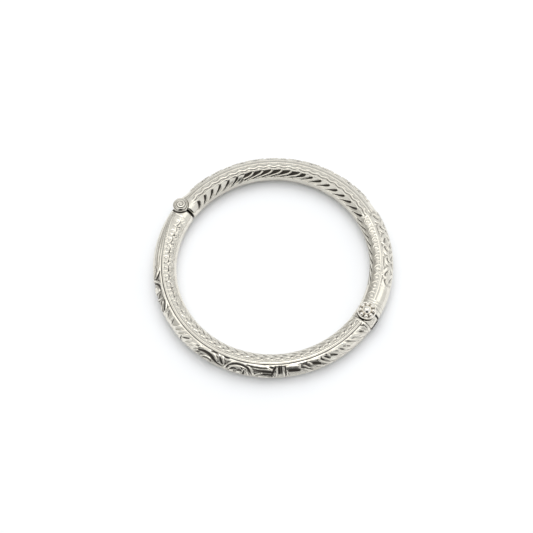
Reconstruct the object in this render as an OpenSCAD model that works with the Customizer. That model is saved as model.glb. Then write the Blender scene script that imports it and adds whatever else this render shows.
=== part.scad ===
// Hinged anklet: two chased half tubes, a hinge pin with an engraved cap, and a clasp screw with a
// beaded rosette head. The ring lies flat. The origin is the ring's centre on the surface it lies
// on, and +Z is up. Plan angles turn anticlockwise from +X seen from above. Section angles turn
// round the tube: 0 faces outward, 90 up, 180 the ring's centre, 270 down.

/* [Ring] */
// Distance from the ring's centre to the middle of its tube
ring_r = 45; // [43:0.5:50]
// Width of the tube, measured across the ring
tube_w = 9.9; // [9.6:0.1:10.4]
// Height of the tube
tube_h = 8.2; // [8:0.1:8.6]

/* [Relief] */
// Depth of the cast relief on the outer face
relief_depth = 0.45; // [0.2:0.05:0.6]
// Depth of the grooves between the gadroons
gadroon_depth = 0.5; // [0.2:0.05:0.7]
// Number of gadroons along the inner face of the back half
gadroon_count = 25; // [22:1:28]

/* [Hinge] */
// Plan angle of the hinge pin
hinge_deg = 145.4; // [143:0.1:148]
// Distance from the middle of the tube out to the hinge pin
hinge_out = 2; // [1.8:0.1:2.2]
// Diameter of the hinge pin
pin_d = 2; // [1.6:0.1:2.4]
// Diameter of the pin's round cap
cap_d = 6.4; // [6:0.1:6.8]

/* [Clasp] */
// Plan angle of the clasp screw
clasp_deg = 329.6; // [328:0.1:332]
// Diameter of the front half's round boss, through which the clasp screw passes
boss_d = 4.6; // [4.2:0.1:5]
// Diameter of the clasp screw
screw_d = 2.2; // [1.8:0.1:2.4]
// Diameter of the rosette plate
rosette_d = 7.8; // [7.4:0.1:8.2]

/* [Hidden] */

silver = [0.78, 0.77, 0.74];
dark_silver = [0.62, 0.61, 0.58];
$fn = 96;

half_w = tube_w / 2;
half_h = tube_h / 2;
mm_per_plan_deg = ring_r * PI / 180;
mm_per_section_deg = (half_w + half_h) / 2 * PI / 180;

// Seams, fits and end collars
seam = 0.5;
running_fit = 0.06;
seated_fit = 0.02;
flat_gap = 0.15;
collar_proud = 0.1;
collar_lift = 0.02;
tuck = 0.3;
tuck_length = 0.5;

// Hinge, bottom to top: lower ear, knuckle, upper ear, cap
hinge_r = ring_r + hinge_out;
ear_d = cap_d - 0.1;
knuckle_d = 6;
ear_t = 1;
lower_ear_z = 0.5;
upper_ear_z = tube_h - 0.25 - ear_t;
knuckle_z = lower_ear_z + ear_t + flat_gap;
knuckle_h = upper_ear_z - flat_gap - knuckle_z;
cap_z = upper_ear_z + ear_t;
cap_rim_h = 0.55;
cap_edge = 0.2;
dome_inset = 0.4;
dome_h = 1.1;
relief_half_angle = 36;
hinge_collar_deg = 5.2;

// Clasp: the halves meet at a level seam just past the screw. The front half's boss reaches over it,
// and takes the back half's tongue in a level pocket.
boss_foot = 0.25;
boss_top = tube_h - boss_foot;
boss_gap = 0.4;
seam_at = 0.8;
seat_play = 0.3;
seat_depth = 0.45;
side_reach = 14;
neck_in = 0.35;
end_rim_deg = 5.8;
end_collar_deg = 4.4;
collar_deg = 11.5;
tongue_w = 5.6;
tongue_t = 2;
tongue_tip = 2.7;
tongue_root = 7.4;
tongue_play = 0.35;
slot_play = 0.2;
pocket_depth = 3.3;

// Rosette and its screw, which ends short of the boss's foot
screw_rise = 0.2;
plate_t = 0.8;
rim_bead_d = 0.6;
ball_d = 3.8;
small_ball_d = 1.65;
small_ball_ring = 2.75;
small_balls = 8;
ball_rise = 0.35;
ball_sink = 0.25;

// The tongue leaves the pocket square to the line from hinge to clasp, which the hinge swings
hinge_xy = hinge_r * [cos(hinge_deg), sin(hinge_deg)];
clasp_xy = ring_r * [cos(clasp_deg), sin(clasp_deg)];
span_xy = clasp_xy - hinge_xy;
swing_turn = atan2(span_xy.y, span_xy.x) - (clasp_deg - 360);

// Where the chased tube of each half starts and ends, tucked into its end collars
tuck_deg = tuck_length / mm_per_plan_deg;
front_from = hinge_deg + hinge_collar_deg - tuck_deg;
front_to = clasp_deg - end_rim_deg - end_collar_deg + tuck_deg;
back_from = clasp_deg - 360 + collar_deg - tuck_deg;
back_to = hinge_deg - hinge_collar_deg + tuck_deg;

// Bands round the tube as rows of first angle, last angle, steps
FRONT_BANDS = [
    [-25, 77, 11],
    [77, 91, 2],
    [91, 131, 4],
    [131, 270, 7],
    [270, 335, 3],
];
BACK_BANDS = [
    [-25, 90, 9],
    [90, 113, 2],
    [113, 211, 9],
    [211, 270, 3],
    [270, 335, 3],
];
front_step = 1.4;
relief_from = 185;
// Ridge above the front half's outer band: section angle, half width in degrees, rise
ridge_at = 84;
ridge_half = 5;
ridge_rise = 0.12;
stations_per_gadroon = 4;

// Gadroons: plan angles of the row's ends, section angles of its edges, and its lean in plan
// degrees for each section degree
gadroon_from = 3;
gadroon_to = 139;
gadroon_low = 211;
gadroon_high = 113;
gadroon_lean = 0.16;
gadroon_pitch = (gadroon_to - gadroon_from) / gadroon_count;
lean_ramp = 16;

// Rope: slanting lobes on the outer face up to the clasp
rope_from = 277.4;
rope_to = 320;
rope_pitch = 10.5;
rope_lean = -0.1;
lobe_share = 0.6;

// Arched ridges as rows of plan angle, section angle, half width, rise, line width, lift. The
// sizes are in mm.
ARCHES = [
    [196.6, -8, 7.0, 5.9, 1.4, 0.4],
    [193.6, -8, 2.8, 4.1, 1.4, 0.3],
    [253.4, -8, 6.1, 6.0, 1.4, 0.45],
    [252.2, -4, 3.1, 3.8, 1.3, 0.4],
    [237.2, 5, 4.6, 4.3, 1.3, 0.4],
    [225.5, 0, 4.0, 4.3, 1.3, 0.3],
];
// Leaves as rows of plan angle, section angle, half length, half width, turn, lift, in mm and
// degrees
LEAVES = [
    [183.5, 52, 3.4, 1.4, -48, 0.35],
    [206.5, 40, 3.0, 1.3, -50, 0.35],
    [215.5, 44, 4.2, 1.9, 42, 0.4],
    [243.5, 62, 2.6, 1.2, -62, 0.35],
    [263.5, 62, 5.2, 1.5, -8, 0.45],
    [265.5, 24, 4.6, 1.6, 12, 0.35],
];
// Scrolls of the back half near the clasp, as rows like the arches
SCROLLS = [
    [349.5, 15, 2.6, 2.4, 1.3, 0.3],
    [356.5, 40, 2.8, 2.4, 1.3, 0.3],
    [3.5, 15, 2.8, 2.4, 1.3, 0.3],
    [10.5, 40, 2.8, 2.4, 1.3, 0.28],
    [17.5, 15, 2.6, 2.2, 1.3, 0.25],
    [24.5, 38, 2.4, 2.0, 1.3, 0.2],
];
// Bars of the calyx before the rope
calyx_deg = 274.8;
calyx_half_deg = 2.4;
bar_pitch = 1.6;

// A smooth bump: 1 at 0, falling to 0 at 1 either side
function bump(u) = abs(u) < 1 ? pow(1 - u * u, 2) : 0;

// 0 below the first value, 1 above the second, a smooth step between
function step_up(u, low, high) =
    let (v = min(1, max(0, (u - low) / (high - low))))
    v * v * (3 - 2 * v);

// Plan angle brought within half a turn of a centre
function near(p, centre) = p - 360 * round((p - centre) / 360);

// Offsets in mm along the ring and round the section from a row's centre
function from_row(p, t, row) = [
    (near(p, row[0]) - row[0]) * mm_per_plan_deg,
    (t - row[1]) * mm_per_section_deg
];

function arch(p, t, row) =
    let (d = from_row(p, t, row))
    let (r = norm([d.x / row[2], d.y / row[3]]))
    row[5] * bump((r - 1) * min(row[2], row[3]) / row[4]);

function leaf(p, t, row) =
    let (d = from_row(p, t, row))
    let (u = (d.x * cos(row[4]) + d.y * sin(row[4])) / row[2])
    let (v = (d.y * cos(row[4]) - d.x * sin(row[4])) / row[3])
    abs(u) < 1 ? row[5] * sqrt(bump(v / (1.05 - u * u))) : 0;

function highest(values) = len(values) == 0 ? 0 : max(values);

function arches(p, t, rows) = highest([for (row = rows) arch(p, t, row)]);
function leaves(p, t, rows) = highest([for (row = rows) leaf(p, t, row)]);

// The rope's lobes: the share of each pitch that swells, over a sunk ground
function rope(p, t) =
    let (u = (p - rope_from - rope_lean * (t - 45)) / rope_pitch)
    let (f = u - floor(u))
    relief_depth * max(sqrt(bump((f - lobe_share / 2) / (lobe_share / 2) * 0.98)),
        0.55 * bump((f - (1 + lobe_share) / 2) / (1 - lobe_share) * 2.2));

function calyx(p) =
    relief_depth * bump((p - calyx_deg) / bar_pitch - round((p - calyx_deg) / bar_pitch));

// Relief of the front half over its full section: a sunk ground between two edges of the outer
// band, with leaves, arches, the calyx and the rope standing up from it, and the ridge above
function front_relief(p, t) =
    let (band = step_up(t, -24, -10) * (1 - step_up(t, 71, 78)))
    let (along = step_up(p, relief_from - 3, relief_from + 3))
    let (ropes = step_up(p, rope_from - 0.6, rope_from + 0.6) * (1 - step_up(p, rope_to - 1, rope_to + 1)))
    let (bars = bump((p - calyx_deg) / calyx_half_deg) > 0 ? 1 : 0)
    let (plain = step_up(p, rope_to, rope_to + 1.5))
    let (motif = max(arches(p, t, ARCHES), leaves(p, t, LEAVES)) * (1 - ropes))
    let (lift = max(motif, ropes * rope(p, t), bars * calyx(p), plain * relief_depth))
    -band * along * (relief_depth - min(lift, relief_depth))
        + ridge_rise * bump((t - ridge_at) / ridge_half);

// Lean of the front half's stations, so that they follow the rope's slant and fade out round the tube
function front_lean(p, t) =
    let (under = t > 200 ? t - 360 : t)
    let (side = under < 0 ? -45 * step_up(under, -110, 0)
        : under <= 75 ? under - 45
        : 30 * (1 - step_up(under, 75, 200)))
    rope_lean * side * step_up(p, 277, 284) * (1 - step_up(p, 312, 319));

// Relief of the back half: gadroons on the inner face, scrolls on the outer face near the clasp
function gadroon(p, t) =
    let (u = (p - gadroon_from) / gadroon_pitch)
    let (f = abs(u - round(u)))
    let (row = step_up(p, gadroon_from - 1, gadroon_from) * (1 - step_up(p, gadroon_to, gadroon_to + 1)))
    let (edge = step_up(t, gadroon_high - 6, gadroon_high + 8) * (1 - step_up(t, gadroon_low - 14, gadroon_low)))
    -gadroon_depth * row * edge * (1 - pow(min(1, 2 * f), 0.6));

function back_relief(p, t) =
    let (band = step_up(t, -20, -8) * (1 - step_up(t, 66, 78)))
    let (along = step_up(near(p, 0), -13, -9) * (1 - step_up(near(p, 0), 26, 34)))
    let (sunk = relief_depth * 0.6)
    -band * along * (sunk - min(sunk, arches(p, t, SCROLLS)));

function back_lean(p, t) =
    gadroon_lean * (min(gadroon_low, max(gadroon_high, t)) - (gadroon_low + gadroon_high) / 2)
        * step_up(p, back_from, back_from + lean_ramp) * (1 - step_up(p, back_to - lean_ramp, back_to))
        * (t < gadroon_high ? step_up(t, 0, gadroon_high) : 1 - step_up(t, gadroon_low, 330));

// Section angles of a table of bands
function turns(bands) = [for (b = bands) for (k = [0 : b[2] - 1]) b[0] + (b[1] - b[0]) * k / b[2]];

// A point of the tube at a plan angle and section angle, lifted off the plain section
function tube_point(p, t, lift) =
    let (r = ring_r + (half_w + lift) * cos(t))
    [r * cos(p), r * sin(p), half_h + (half_h + lift) * sin(t)];

// A closed tube along the plan angles, its first and last sections tucked in
module chased_tube(plans, bands, relief, lean) {
    ts = turns(bands);
    n = len(ts);
    last = len(plans) - 1;
    points = [
        for (i = [0 : last]) for (t = ts)
            let (p = plans[i] + lean(plans[i], t))
            tube_point(p, t, i == 0 || i == last ? -tuck : relief(plans[i], p, t))
    ];
    sides = [
        for (i = [0 : last - 1]) for (j = [0 : n - 1])
            let (a = i * n + j, b = i * n + (j + 1) % n)
            each [[a, b, b + n], [a, b + n, a + n]]
    ];
    start = [for (j = [n - 1 : -1 : 0]) j];
    end = [for (j = [0 : n - 1]) last * n + j];
    polyhedron(points = points, faces = concat(sides, [start, end]), convexity = 8);
}

// A plain stretch of tube between two plan angles, proud of the chased tube
module plain_tube(from, to, proud) {
    rotate([0, 0, from])
        rotate_extrude(angle = to - from, $fn = 180)
            polygon([for (k = [0 : 31]) let (t = k * 360 / 32)
                [ring_r + (half_w + proud) * cos(t), half_h + collar_lift + (half_h + min(0, proud)) * sin(t)]]);
}

// Frames whose X faces outward and whose Y runs along the ring
module at_hinge() {
    rotate([0, 0, hinge_deg]) translate([hinge_r, 0, 0]) children();
}

module at_clasp() {
    rotate([0, 0, clasp_deg]) translate([ring_r, 0, 0]) children();
}

module disc(d, z, h) {
    translate([0, 0, z]) cylinder(d = d, h = h);
}

// The wedge outboard of the hinge that both halves leave free, so the anklet can open
module opening_wedge() {
    reach = half_w * 2;
    side = reach * tan(relief_half_angle);
    translate([0, 0, -1])
        linear_extrude(height = tube_h + 2)
            polygon([[0, 0], [reach, -side], [reach, side]]);
}

module front_hinge_end() {
    difference() {
        union() {
            difference() {
                plain_tube(hinge_deg, hinge_deg + hinge_collar_deg, collar_proud);
                at_hinge() {
                    opening_wedge();
                    disc(ear_d + 0.3, upper_ear_z - flat_gap, tube_h);
                    disc(ear_d + 0.3, -1, knuckle_z + 1);
                    translate([-half_w * 3, -seam / 2, -1]) cube([half_w * 6, seam, tube_h + 2]);
                }
            }
            at_hinge() disc(knuckle_d, knuckle_z, knuckle_h);
        }
        at_hinge() disc(pin_d + 2 * running_fit, -1, tube_h + 2);
    }
}

module back_hinge_end() {
    difference() {
        union() {
            difference() {
                plain_tube(hinge_deg - hinge_collar_deg, hinge_deg, collar_proud);
                at_hinge() {
                    opening_wedge();
                    disc(knuckle_d + 0.3, lower_ear_z + ear_t, upper_ear_z - lower_ear_z - ear_t);
                    disc(cap_d + 0.3, cap_z, tube_h);
                    translate([-half_w * 3, -seam / 2, -1]) cube([half_w * 6, seam, tube_h + 2]);
                }
            }
            at_hinge() {
                disc(ear_d, lower_ear_z, ear_t);
                disc(ear_d, upper_ear_z, ear_t);
            }
        }
        at_hinge() disc(pin_d + 2 * seated_fit, -1, tube_h + 2);
    }
}

// All that lies on one side of the clasp's seam: -1 for the front half's, 1 for the back half's
module beside_seam(side) {
    at_clasp()
        rotate([0, 0, swing_turn])
            translate([-side_reach / 2, seam_at + side * seam / 2 - (side < 0 ? side_reach : 0), -1])
                cube([side_reach, side_reach, tube_h + 2]);
}

// A round seat sunk in the top of the tube, in which the rosette's plate turns
module plate_seat() {
    at_clasp() disc(rosette_d + 2 * seat_play, boss_top - seat_depth, tube_h);
}

module front_clasp_end() {
    rim = clasp_deg - end_rim_deg;
    difference() {
        union() {
            plain_tube(rim - end_collar_deg, rim, collar_proud);
            difference() {
                intersection() {
                    plain_tube(rim - 0.5, clasp_deg + end_rim_deg, -neck_in);
                    beside_seam(-1);
                }
                plate_seat();
            }
            at_clasp() disc(boss_d, boss_foot, boss_top - boss_foot);
        }
        at_clasp() {
            rotate([0, 0, swing_turn])
                translate([-tongue_w / 2 - tongue_play, -pocket_depth, half_h - tongue_t / 2 - flat_gap])
                    cube([tongue_w + 2 * tongue_play, pocket_depth + side_reach, tongue_t + 2 * flat_gap]);
            disc(screw_d + 2 * running_fit, -1, tube_h + 2);
        }
    }
}

module back_clasp_end() {
    difference() {
        intersection() {
            plain_tube(clasp_deg, clasp_deg + collar_deg, collar_proud);
            beside_seam(1);
        }
        plate_seat();
        at_clasp() disc(boss_d + 2 * boss_gap, -1, tube_h + 2);
    }
    at_clasp() rotate([0, 0, swing_turn]) tongue();
}

// The forked tongue: a level plate, open at its tip, that straddles the screw
module tongue() {
    slot_w = screw_d + 2 * slot_play;
    translate([0, 0, half_h - tongue_t / 2])
        linear_extrude(height = tongue_t)
            difference() {
                translate([-tongue_w / 2, -tongue_tip]) square([tongue_w, tongue_tip + tongue_root]);
                circle(d = slot_w);
                translate([-slot_w / 2, -tongue_tip - 1]) square([slot_w, tongue_tip + 1]);
            }
}

module front_half() {
    count = round((front_to - front_from) / front_step);
    plans = [for (i = [0 : count]) front_from + (front_to - front_from) * i / count];
    color(silver) {
        chased_tube(plans, FRONT_BANDS, function (at, p, t) front_relief(p, t), function (p, t) front_lean(p, t));
        front_hinge_end();
        front_clasp_end();
    }
}

module back_half() {
    step = gadroon_pitch / stations_per_gadroon;
    before = ceil((gadroon_from - back_from) / step);
    after = ceil((back_to - gadroon_to) / step);
    along = gadroon_count * stations_per_gadroon;
    plans = concat(
        [for (i = [0 : before - 1]) back_from + (gadroon_from - back_from) * i / before],
        [for (i = [0 : along - 1]) gadroon_from + step * i],
        [for (i = [0 : after]) gadroon_to + (back_to - gadroon_to) * i / after]
    );
    color(silver) {
        chased_tube(plans, BACK_BANDS, function (at, p, t) gadroon(at, t) + back_relief(p, t),
            function (p, t) back_lean(p, t));
        back_hinge_end();
        back_clasp_end();
    }
}

module hinge_pin() {
    r = cap_d / 2;
    dome_r = r - dome_inset;
    steps = 6;
    color(dark_silver)
        at_hinge() {
            disc(pin_d, lower_ear_z, cap_z - lower_ear_z + cap_rim_h / 2);
            translate([0, 0, cap_z])
                rotate_extrude()
                    polygon(concat(
                        [[0, 0], [r - cap_edge, 0], [r, cap_edge], [r, cap_rim_h - cap_edge],
                            [r - cap_edge, cap_rim_h]],
                        [for (k = [0 : steps]) let (t = 90 * k / steps)
                            [dome_r * cos(t), cap_rim_h + dome_h * sin(t)]]
                    ));
        }
}

module clasp_screw() {
    top = boss_top + plate_t;
    color(silver)
        at_clasp() {
            disc(screw_d, boss_foot + screw_rise, boss_top - boss_foot);
            disc(rosette_d, boss_top, plate_t);
            translate([0, 0, top])
                rotate_extrude() translate([rosette_d / 2 - rim_bead_d / 2, 0]) circle(d = rim_bead_d);
            intersection() {
                translate([0, 0, top + ball_rise]) sphere(d = ball_d);
                disc(ball_d, boss_top + plate_t / 2, ball_d);
            }
            for (k = [0 : small_balls - 1])
                rotate([0, 0, (k + 0.5) * 360 / small_balls])
                    translate([small_ball_ring, 0, top + small_ball_d / 2 - ball_sink])
                        sphere(d = small_ball_d, $fn = 32);
        }
}

front_half();
back_half();
hinge_pin();
clasp_screw();
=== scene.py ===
"""Looks of a hinged silver anklet: two chased half tubes, a hinge with an engraved cap, and a clasp
with a rosette screw.

Lengths are millimetres until a mesh is made. Plan angles turn anticlockwise from +X seen from
above. Section angles turn round the tube: 0 faces outward, 90 up, 180 the ring's centre, 270 down.
"""

import logging
import math
from collections.abc import Callable
from dataclasses import dataclass
from enum import Enum

import bmesh
import bpy
import numpy as np
from mathutils import Matrix, Vector


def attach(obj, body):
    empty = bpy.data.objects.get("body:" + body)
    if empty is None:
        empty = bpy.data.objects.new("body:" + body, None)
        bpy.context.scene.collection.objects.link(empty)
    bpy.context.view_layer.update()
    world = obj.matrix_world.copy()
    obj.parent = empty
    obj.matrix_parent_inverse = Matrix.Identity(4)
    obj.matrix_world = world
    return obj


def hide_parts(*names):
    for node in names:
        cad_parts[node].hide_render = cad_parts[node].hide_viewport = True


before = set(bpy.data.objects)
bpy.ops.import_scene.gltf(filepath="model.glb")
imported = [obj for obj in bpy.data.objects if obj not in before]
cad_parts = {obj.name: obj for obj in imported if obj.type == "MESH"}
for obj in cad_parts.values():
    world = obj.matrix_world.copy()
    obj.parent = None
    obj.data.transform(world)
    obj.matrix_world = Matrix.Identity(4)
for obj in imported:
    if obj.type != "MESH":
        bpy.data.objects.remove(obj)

log = logging.getLogger("anklet")
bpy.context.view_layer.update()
MM = 0.001

Array = np.ndarray
Value = float | Array
Point = tuple[float, float]
Span = tuple[float, float, float, float]
# Height in mm, and darkness: tarnish in hollows, and in places painted shade
Relief = tuple[Array, Array]
Object = bpy.types.Object
Material = bpy.types.Material
Socket = bpy.types.NodeSocket


# Shapes of one number

def bump(u: Array) -> Array:
    """The square of 1 - u squared within 1 either side of 0, and 0 beyond."""
    return np.clip(1 - u * u, 0, None) ** 2


def rounded(u: Array) -> Array:
    """The root of 1 - u squared within 1 either side of 0, as the top of a cord, and 0 beyond."""
    return np.sqrt(np.clip(1 - u * u, 0, None))


def ramp(u: Array, low: Value, high: Value) -> Array:
    """A smooth step from 0 at low to 1 at high."""
    v = np.clip((u - low) / (high - low), 0, 1)
    return v * v * (3 - 2 * v)


def fall(u: Array, low: Value, high: Value) -> Array:
    """A smooth step from 1 at low to 0 at high."""
    return 1 - ramp(u, low, high)


def between(u: Array, start: Value, full: Value, fade: Value, end: Value) -> Array:
    """A smooth rise from start to full, and a fall from fade to end."""
    return ramp(u, start, full) * fall(u, fade, end)


def part_of(u: Array) -> Array:
    """What is left of u past the whole number below it."""
    return u - np.floor(u)


def total(*parts: Relief) -> Relief:
    """The sums of the heights and the inks of several reliefs."""
    return sum(height for height, _ in parts), sum(ink for _, ink in parts)


# The ring that both half tubes follow

@dataclass(frozen=True)
class Ring:
    """The ring's sizes, and where the hinge and the clasp stand on it."""

    radius: float = 45.0
    half_w: float = 4.95
    half_h: float = 4.1
    hinge_deg: float = 145.4
    hinge_r: float = 47.0
    clasp_deg: float = 329.6
    clasp_r: float = 45.0
    seam: float = 0.5
    seam_at: float = 0.8
    # Lengths of a degree of section angle, of plan angle on the tube's middle, and of plan angle inboard
    mm_per_section_deg: float = 0.079
    mm_per_deg: float = 0.785
    least_mm_per_deg: float = 0.68

    def point(self, plan: Array, section: Array, lift: Array) -> Array:
        """Points of the tube.

        The distance from the axis is the ring's radius plus the lifted half width times the
        cosine of the section angle, and the height is the half height plus the lifted half height
        times its sine.

        Args:
            plan: plan angles in degrees.
            section: section angles in degrees.
            lift: height above the plain section in mm.

        Returns:
            An array with x, y and z last.
        """
        p, t = np.radians(plan), np.radians(section)
        out = self.radius + (self.half_w + lift) * np.cos(t)
        up = self.half_h + (self.half_h + lift) * np.sin(t)
        return np.stack([out * np.cos(p), out * np.sin(p), up], -1)

    def mm_per_plan_deg(self, section: Array) -> Array:
        """Length of a degree of plan angle at a section angle."""
        return np.radians(self.radius + self.half_w * np.cos(np.radians(section)))


RING = Ring()


@dataclass(frozen=True)
class Stand:
    """A local frame on the ring: x outward, y along the ring, z up."""

    deg: float
    radius: float

    def to_local(self, points: Array) -> Array:
        """Points of the ring's frame seen from this stand.

        Args:
            points: points with x, y and z last.

        Returns:
            The points seen from this stand.
        """
        c, s = math.cos(math.radians(self.deg)), math.sin(math.radians(self.deg))
        x, y = points[..., 0], points[..., 1]
        return np.stack([x * c + y * s - self.radius, y * c - x * s, points[..., 2]], -1)

    def to_ring(self, points: Array) -> Array:
        """Points of this stand in the ring's frame.

        Args:
            points: points seen from this stand, with x, y and z last.

        Returns:
            The points in the ring's frame.
        """
        c, s = math.cos(math.radians(self.deg)), math.sin(math.radians(self.deg))
        x, y = points[..., 0] + self.radius, points[..., 1]
        return np.stack([x * c - y * s, y * c + x * s, points[..., 2]], -1)


HINGE = Stand(RING.hinge_deg, RING.hinge_r)
CLASP = Stand(RING.clasp_deg, RING.clasp_r)


def swing() -> float:
    """Turn of the clasp's seam in radians, which is square to the line from hinge to clasp."""
    x, y, _ = CLASP.to_ring(np.zeros(3)) - HINGE.to_ring(np.zeros(3))
    return math.atan2(y, x) - math.radians(CLASP.deg - 360)


SWING = swing()


def at_seam(across: Array, along: Array, up: Array) -> Array:
    """Points from distances along the clasp's seam, square to it, and up.

    Args:
        across: distances along the seam in mm.
        along: distances square to it.
        up: heights.

    Returns:
        The points in the ring's frame.
    """
    x = across * math.cos(SWING) - along * math.sin(SWING)
    y = along * math.cos(SWING) + across * math.sin(SWING)
    return CLASP.to_ring(np.stack([x, y, up], -1))


# Chased strokes

class Tool(Enum):
    """What a stroke does to the surface."""

    CORD = "round raised line"
    LEAF = "raised line with a sunk midrib"
    CUT = "sunk line"


@dataclass(frozen=True)
class Stroke:
    """A curved line through three points of plan and section angle, with its half widths in mm."""

    tool: Tool
    start: Point
    middle: Point
    end: Point
    half_widths: tuple[float, float, float]
    height: float = 0.42

    def across(self, plan: Array, section: Array) -> tuple[Array, Array]:
        """How far points lie from the stroke.

        The line is the curve with weights (1 - s) squared, 2 s (1 - s) and s squared on its three
        points, taken as short straight pieces. The distance in mm is divided by the half width,
        which runs in the same way.

        Args:
            plan: plan angles of the points.
            section: section angles of the points.

        Returns:
            Which points are close enough to ask about, and their distances in half widths.
        """
        s = np.linspace(0, 1, 11)
        weights = np.stack([(1 - s) ** 2, 2 * s * (1 - s), s * s], -1)
        line = weights @ np.array([self.start, self.middle, self.end])
        widths = np.maximum(weights @ np.array(self.half_widths), 0.04)
        reach = widths.max()
        low, high = line.min(0), line.max(0)
        pad = np.array([reach / RING.least_mm_per_deg, reach / RING.mm_per_section_deg])
        close = (
            (plan > low[0] - pad[0]) & (plan < high[0] + pad[0])
            & (section > low[1] - pad[1]) & (section < high[1] + pad[1])
        )
        p, t = plan[close], section[close]
        scale = np.stack([RING.mm_per_plan_deg(t), np.full_like(t, RING.mm_per_section_deg)], -1)
        from_start = (np.stack([p, t], -1)[None] - line[:-1, None]) * scale
        piece = (line[1:, None] - line[:-1, None]) * scale
        along = np.clip((from_start * piece).sum(-1) / (piece**2).sum(-1), 0, 1)
        distance = np.linalg.norm(from_start - along[..., None] * piece, axis=-1)
        width = widths[:-1, None] * (1 - along) + widths[1:, None] * along
        return close, (distance / width).min(0)


def strokes_from(rows: list[tuple]) -> list[Stroke]:
    """Strokes from rows of tool, three points, half widths and height."""
    return [Stroke(*row) for row in rows]


def placed(strokes: list[Stroke], plan: float, section: float, flip: bool, size: float) -> list[Stroke]:
    """Strokes set round another centre, mirrored along the ring if asked.

    Args:
        strokes: strokes round their own centre.
        plan: plan angle of the new centre.
        section: section angle of the new centre.
        flip: whether to mirror them.
        size: how much to enlarge them.

    Returns:
        The new strokes.
    """
    sign, out = -1 if flip else 1, []
    for s in strokes:
        points = [(plan + sign * size * p, section + size * t) for p, t in (s.start, s.middle, s.end)]
        out.append(Stroke(s.tool, *points, tuple(size * w for w in s.half_widths), s.height))
    return out


def chase(plan: Array, section: Array, strokes: list[Stroke]) -> tuple[Array, Array, Array]:
    """What a list of strokes does.

    A cord rises as the root of 1 - u squared, where u is the distance in half widths. A leaf rises
    so and falls along its middle, and a cut sinks as the square of 1 - u squared. The highest rise
    and the deepest cut win. A cut's tarnish is full at its middle and fades to its edge.

    Args:
        plan: plan angles of the points.
        section: section angles of the points.
        strokes: the strokes.

    Returns:
        The rise above the ground, the depth of the cuts, and their tarnish.
    """
    rise, cut, ink = np.zeros_like(plan), np.zeros_like(plan), np.zeros_like(plan)
    for stroke in strokes:
        close, u = stroke.across(plan, section)
        if stroke.tool is Tool.CUT:
            cut[close] = np.maximum(cut[close], 0.45 * stroke.height * bump(u))
            ink[close] = np.maximum(ink[close], min(1, stroke.height / 0.42) * fall(u, 0.45, 1.0))
        else:
            u = u / (0.8 if stroke.tool is Tool.CORD else 1.0)
            height = stroke.height * rounded(u)
            if stroke.tool is Tool.LEAF:
                height = height * (1 - 0.45 * bump(u / 0.3))
            rise[close] = np.maximum(rise[close], height)
    return rise, cut, ink


CORD, LEAF, CUT = Tool.CORD, Tool.LEAF, Tool.CUT

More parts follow.
